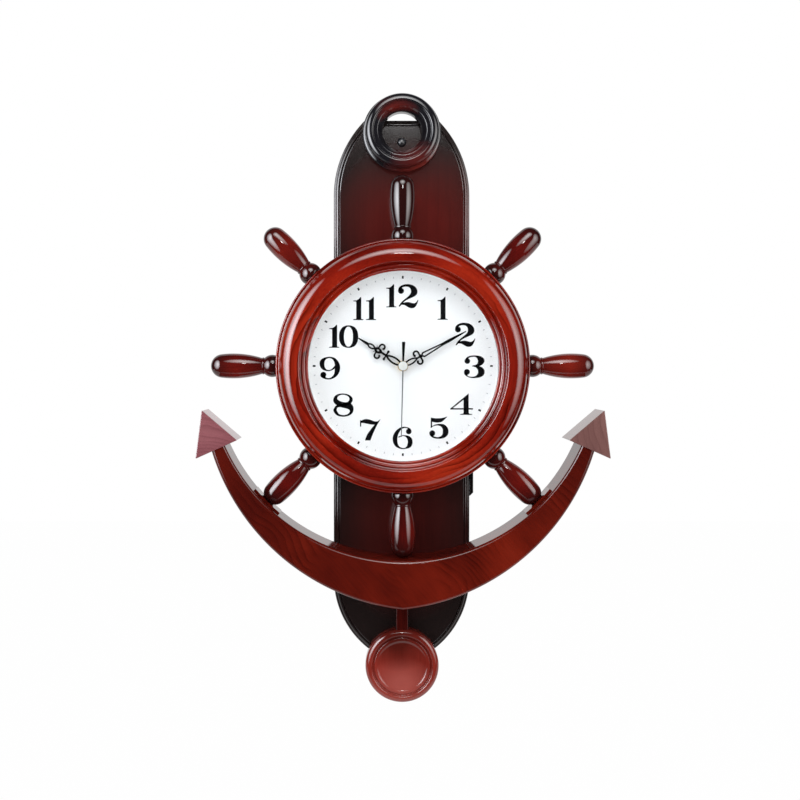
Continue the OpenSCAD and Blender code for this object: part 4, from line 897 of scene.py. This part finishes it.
BORE_R = 0.66
hand_grey = speckled("hand_grey", (98, 100, 104), 0.35, strength=0.1, Metallic=0.3)
for piece, material in (
        (strip_hand("second_needle", [(1.0, 0.65), (36, 0.55), (SECOND_L - 0.4, 0.45), (SECOND_L, 0.25)]),
         hand_grey),
        (strip_hand("second_tail", [(-TAIL_L, 1.25), (0.6 - TAIL_L, 1.75), (-12, 1.2), (-1.5, 0.8)]),
         hand_black),
        (turned("second_collar", rounded([
            (BORE_R, SECOND_D, 0), (4.7, SECOND_D, 0.15), (4.7, SECOND_D + 0.9, 0.3),
            (4.2, SECOND_D + 1.1, 0.1), (BORE_R, SECOND_D + 1.1, 0)], closed=True), count=64),
         speckled("collar_gold", (140, 136, 122), 0.35, Metallic=0.7)),
        (turned("second_cap", rounded([
            (BORE_R, SECOND_D + 1.0, 0), (4.6, SECOND_D + 1.0, 0), (4.6, SECOND_D + 1.8, 0.4),
            (BORE_R, SECOND_D + 2.1, 0)], closed=True), count=64),
         speckled("cap_pale", (226, 226, 222), 0.35, Metallic=0.1))):
    dress(piece, material, "second", "hand_grey", "second_hand")


# ---------------------------------------------------------------------------------------------
# Arms of the anchor: one crescent sawn from a plank that stands out from the board, with its front
# edges rounded and its grain running down to the right. It comes to a point at the foot.
ARM_IN, ARM_OUT, ARM_SHIFT, ARM_DROP, ARM_D = 196.3, 227.68, 25.0, 19.2, 66.0
FLUKE_ANGLE = 24.1


def crescent_grid(rows=241):
    """Rows of a section that goes round the wheel's axis. On a ray u the section reaches from the
    inner circle to c.u + sqrt(R^2 - c.c + (c.u)^2), where the ray leaves the outer disc about c."""
    phi = np.radians(np.linspace(-FLUKE_ANGLE, FLUKE_ANGLE - 180, rows))
    ray = np.column_stack([np.cos(phi), np.sin(phi)])
    centre = np.column_stack([-ARM_SHIFT * np.sign(np.round(ray[:, 0], 9)), np.full(rows, -ARM_DROP)])
    centre[rows // 2, 0] = ARM_SHIFT
    on_ray = (centre * ray).sum(1)
    outer = on_ray + np.sqrt(ARM_OUT ** 2 - ARM_SHIFT ** 2 - ARM_DROP ** 2 + on_ray ** 2)
    round_in, round_out, turn = 3.5, 4.0, np.radians(np.linspace(0, 90, 13))
    inner_part = np.vstack([[(1.0, PANEL_D), (0.3, PANEL_D + 0.3), (0.0, PANEL_D + 1.0)], np.column_stack([
        round_in * (1 - np.cos(turn)), ARM_D - round_in * (1 - np.sin(turn))])])
    outer_part = np.vstack([np.column_stack([
        round_out * (1 - np.sin(turn)), ARM_D - round_out * (1 - np.cos(turn))]),
        [(0.0, PANEL_D + 1.0), (0.3, PANEL_D + 0.3), (1.0, PANEL_D)]])
    radius = np.hstack([ARM_IN + np.tile(inner_part[:, 0], (rows, 1)), outer[:, None] - outer_part[:, 0]])
    depth = np.tile(np.concatenate([inner_part[:, 1], outer_part[:, 1]]), (rows, 1))
    return capped(np.stack([radius * ray[:, :1], depth, radius * ray[:, 1:]], axis=-1))


arms = lay_grain(skin("anchor_arms", crescent_grid(), crease=10), lambda spots: np.column_stack([
    0.67 * spots[:, 0] - 0.74 * spots[:, 2], spots[:, 1], 0.74 * spots[:, 0] + 0.67 * spots[:, 2]]))


def arm_painted_shade_and_light(tree, colour, spot):
    """Painted shade and light: darker towards both flukes, brightest a little right of the foot."""
    middle = glow(tree, spot, (0.045, -0.05, -0.405), (0.20, 0.2, 0.20))
    share = ramp(tree, middle, shades((0.0, 185, 185, 185), (0.75, 255, 255, 255)))
    return blend(tree, share, linear(56, 12, 10), colour)


ARM_STAIN = shades((0.40, 70, 14, 9), (0.58, 92, 21, 11), (0.74, 110, 27, 14), (0.9, 124, 34, 19))
# The arms' stain gets painted shade towards the flukes and painted light right of the foot.
dress(arms, lacquer("arm_lacquer", ARM_STAIN, arm_painted_shade_and_light, coat=0.09, gloss=0.8, pitch=0.007, bend=9.0,
                    stretch=0.7, lines=0.55), "clock", "red_lacquer", "crescent")

# Flukes: two sawn triangles that stand a little proud of the arms, in a paler, mauve lacquer, whose
# paleness is partly painted reflection. The right one is browner, and its grain runs upwards.
FLUKE = np.array([(202.3, -44.3), (166.7, -74.6), (208.5, -93.3)])
MAUVE_WITH_PAINTED_REFLECTION = shades((0.40, 126, 72, 78), (0.62, 145, 88, 94), (0.85, 160, 104, 108))
BROWN_WITH_PAINTED_REFLECTION = shades((0.40, 104, 70, 68), (0.62, 120, 84, 80), (0.85, 134, 97, 92))
for side, corners, stain in (("right", FLUKE, BROWN_WITH_PAINTED_REFLECTION), ("left", (FLUKE * (-1, 1))[::-1], MAUVE_WITH_PAINTED_REFLECTION)):
    point = raised(f"anchor_{side}_point", polygon_outline(corners, 0.6),
                   [(0.5, PANEL_D), (0, PANEL_D + 0.5), (0, 66.6), (0.25, 67.2), (0.9, 67.5)])
    a = math.radians(84 if side == "right" else 8)
    lay_grain(point, lambda spots: np.column_stack([
        spots[:, 0] * math.cos(a) - spots[:, 2] * math.sin(a), spots[:, 1],
        spots[:, 0] * math.sin(a) + spots[:, 2] * math.cos(a)]))
    dress(point, lacquer(f"{side}_fluke_lacquer", stain, pitch=0.006, bend=14.0, stretch=0.6, lines=0.24,
                         calm=0.38), "clock", "fluke_lacquer", f"fluke_{side}")

# The plates under the lower diagonal handles keep the model's shape, in the arms' stain.
dress(bolder("smooth_plates", "seat_plates", 0), lacquer("seat_lacquer", ARM_STAIN, coords="object", coat=0.09),
      "clock", "drum_lacquer", "seat_plates")


# ---------------------------------------------------------------------------------------------
# Foot of the anchor: a short square bar from the arms' point to a turned, dished knob. Both lie
# flat on the board, and two screws from behind hold the knob.
foot_bar = lay_grain(raised("foot_bar", box_outline(-6.2, 6.2, -275.6, -242.0, 1.0), [
    (0.4, PANEL_D), (0, PANEL_D + 0.4), (0, 30.5), (0.11, 31.1), (0.44, 31.56), (0.9, 31.9), (1.5, 32)]),
    upright)
dress(foot_bar, lacquer("bar_lacquer", DARK_STAIN, pitch=0.006), "clock", "red_lacquer", "lower_bar")

KNOB_HEIGHT, KNOB_R = -309.5, 37.9
DISH_R = 26.0
outside = rounded([(0, PANEL_D, 0), (KNOB_R, PANEL_D, 0.6), (KNOB_R, 35, 5.5), (31.1, 35, 1.6),
                   (30.7, 31.8, 0.6), (29.1, 31.8, 0.6), (28.7, 33.3, 0.9), (DISH_R, 33.1, 0)], steps=8)
share = 1 - np.linspace(0, 1, 20)[1:] ** 1.8
dish = np.column_stack([DISH_R * share, 31.2 + 1.9 * share ** 8])
knob = lay_grain(turned("foot_knob", np.vstack([outside, dish]), KNOB_HEIGHT, closed=False), upright)


def knob_painted_shade_and_reflection(tree, colour, spot):
    """Painted shade darkens the dish towards its top, and a painted reflection keeps its foot pale."""
    top = glow(tree, spot, (-0.004, -0.033, -0.482), (0.034, 0.03, 0.030), 0.9)
    foot = glow(tree, spot, (0.000, -0.032, -0.524), (0.036, 0.03, 0.028))
    colour = blend(tree, rise(tree, foot, 0.0, 0.8), colour, linear(158, 76, 68))
    return blend(tree, calc(tree, "MINIMUM", top, 0.8), colour, linear(62, 18, 13))


KNOB_STAIN = shades((0.42, 112, 34, 26), (0.60, 136, 46, 37), (0.85, 150, 58, 48))
# The knob's dish gets painted shade at its top and a painted reflection at its foot.
dress(knob, lacquer("knob_lacquer", KNOB_STAIN, knob_painted_shade_and_reflection, pitch=0.008, bend=5.0, lines=0.45), "clock",
      "red_lacquer", "bottom_knob")


# ---------------------------------------------------------------------------------------------
# Metal at the back and inside: the sunk keyhole plate and all the countersunk screws, zinc plated.
zinc = speckled("zinc_plate", (178, 182, 184), 0.32, wear=0.12, Metallic=1.0)
paint(zinc, "hanger_plate", "hanger_screws", "frame_screws", "bezel_screws")


# ---------------------------------------------------------------------------------------------
# Quartz movement: a black moulded box with a brass bush, clamped to the dial by a nut. It holds a
# motor, a train of moulded wheels, the motion work of the hands and an AA cell.
paint(speckled("black_moulding", (26, 26, 28), 0.5, wear=0.15),
      "movement_case", "movement_cover", "set_knob")
paint(speckled("nylon", (226, 224, 214), 0.42, Subsurface_Weight=0.15, Subsurface_Scale=0.002),
      "intermediate_wheel", "second_wheel", "third_wheel", "motion_wheel", "hour_wheel")
paint(speckled("brass", (214, 178, 96), 0.3, wear=0.1, Metallic=1.0),
      "train_plate", "metal_washer", "bush_nut", "centre_wheel", "minute_pipe")
paint(speckled("washer_rubber", (32, 32, 33), 0.75, strength=0.5), "rubber_washer")
paint(speckled("circuit_green", (34, 92, 54), 0.35, Coat_Weight=0.4), "circuit_board")
paint(speckled("coil_copper", (196, 112, 70), 0.3, size=2600.0, strength=0.6, Metallic=1.0), "coil")
paint(speckled("core_iron", (120, 120, 122), 0.45, Metallic=1.0), "stator", "rotor")
paint(speckled("contact_nickel", (200, 200, 196), 0.25, Metallic=1.0),
      "battery_contact_plus", "battery_contact_minus")

cell, tree, shader = finish("cell_jacket", linear(40, 70, 60), 0.3)
low, high = (np.array(corner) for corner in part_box("battery"))
lengthwise = int(np.argmax(high - low))
along = add(tree, "SeparateXYZ", {0: place(tree)}).outputs[lengthwise]
jacket = ramp(tree, rise(tree, along, low[lengthwise], high[lengthwise]), shades(
    (0.0, 196, 196, 192), (0.035, 34, 62, 52), (0.66, 44, 78, 66), (0.67, 186, 150, 92), (0.93, 196, 196, 192)))
jacket.node.color_ramp.interpolation = "CONSTANT"
tree.links.new(jacket, shader.inputs["Base Color"])
scuffs = noise(tree, place(tree), 260.0, 3.0)
rough = add(tree, "MapRange", {"Value": scuffs, "To Min": 0.22, "To Max": 0.42})
tree.links.new(rough.outputs[0], shader.inputs["Roughness"])
paint(cell, "battery")
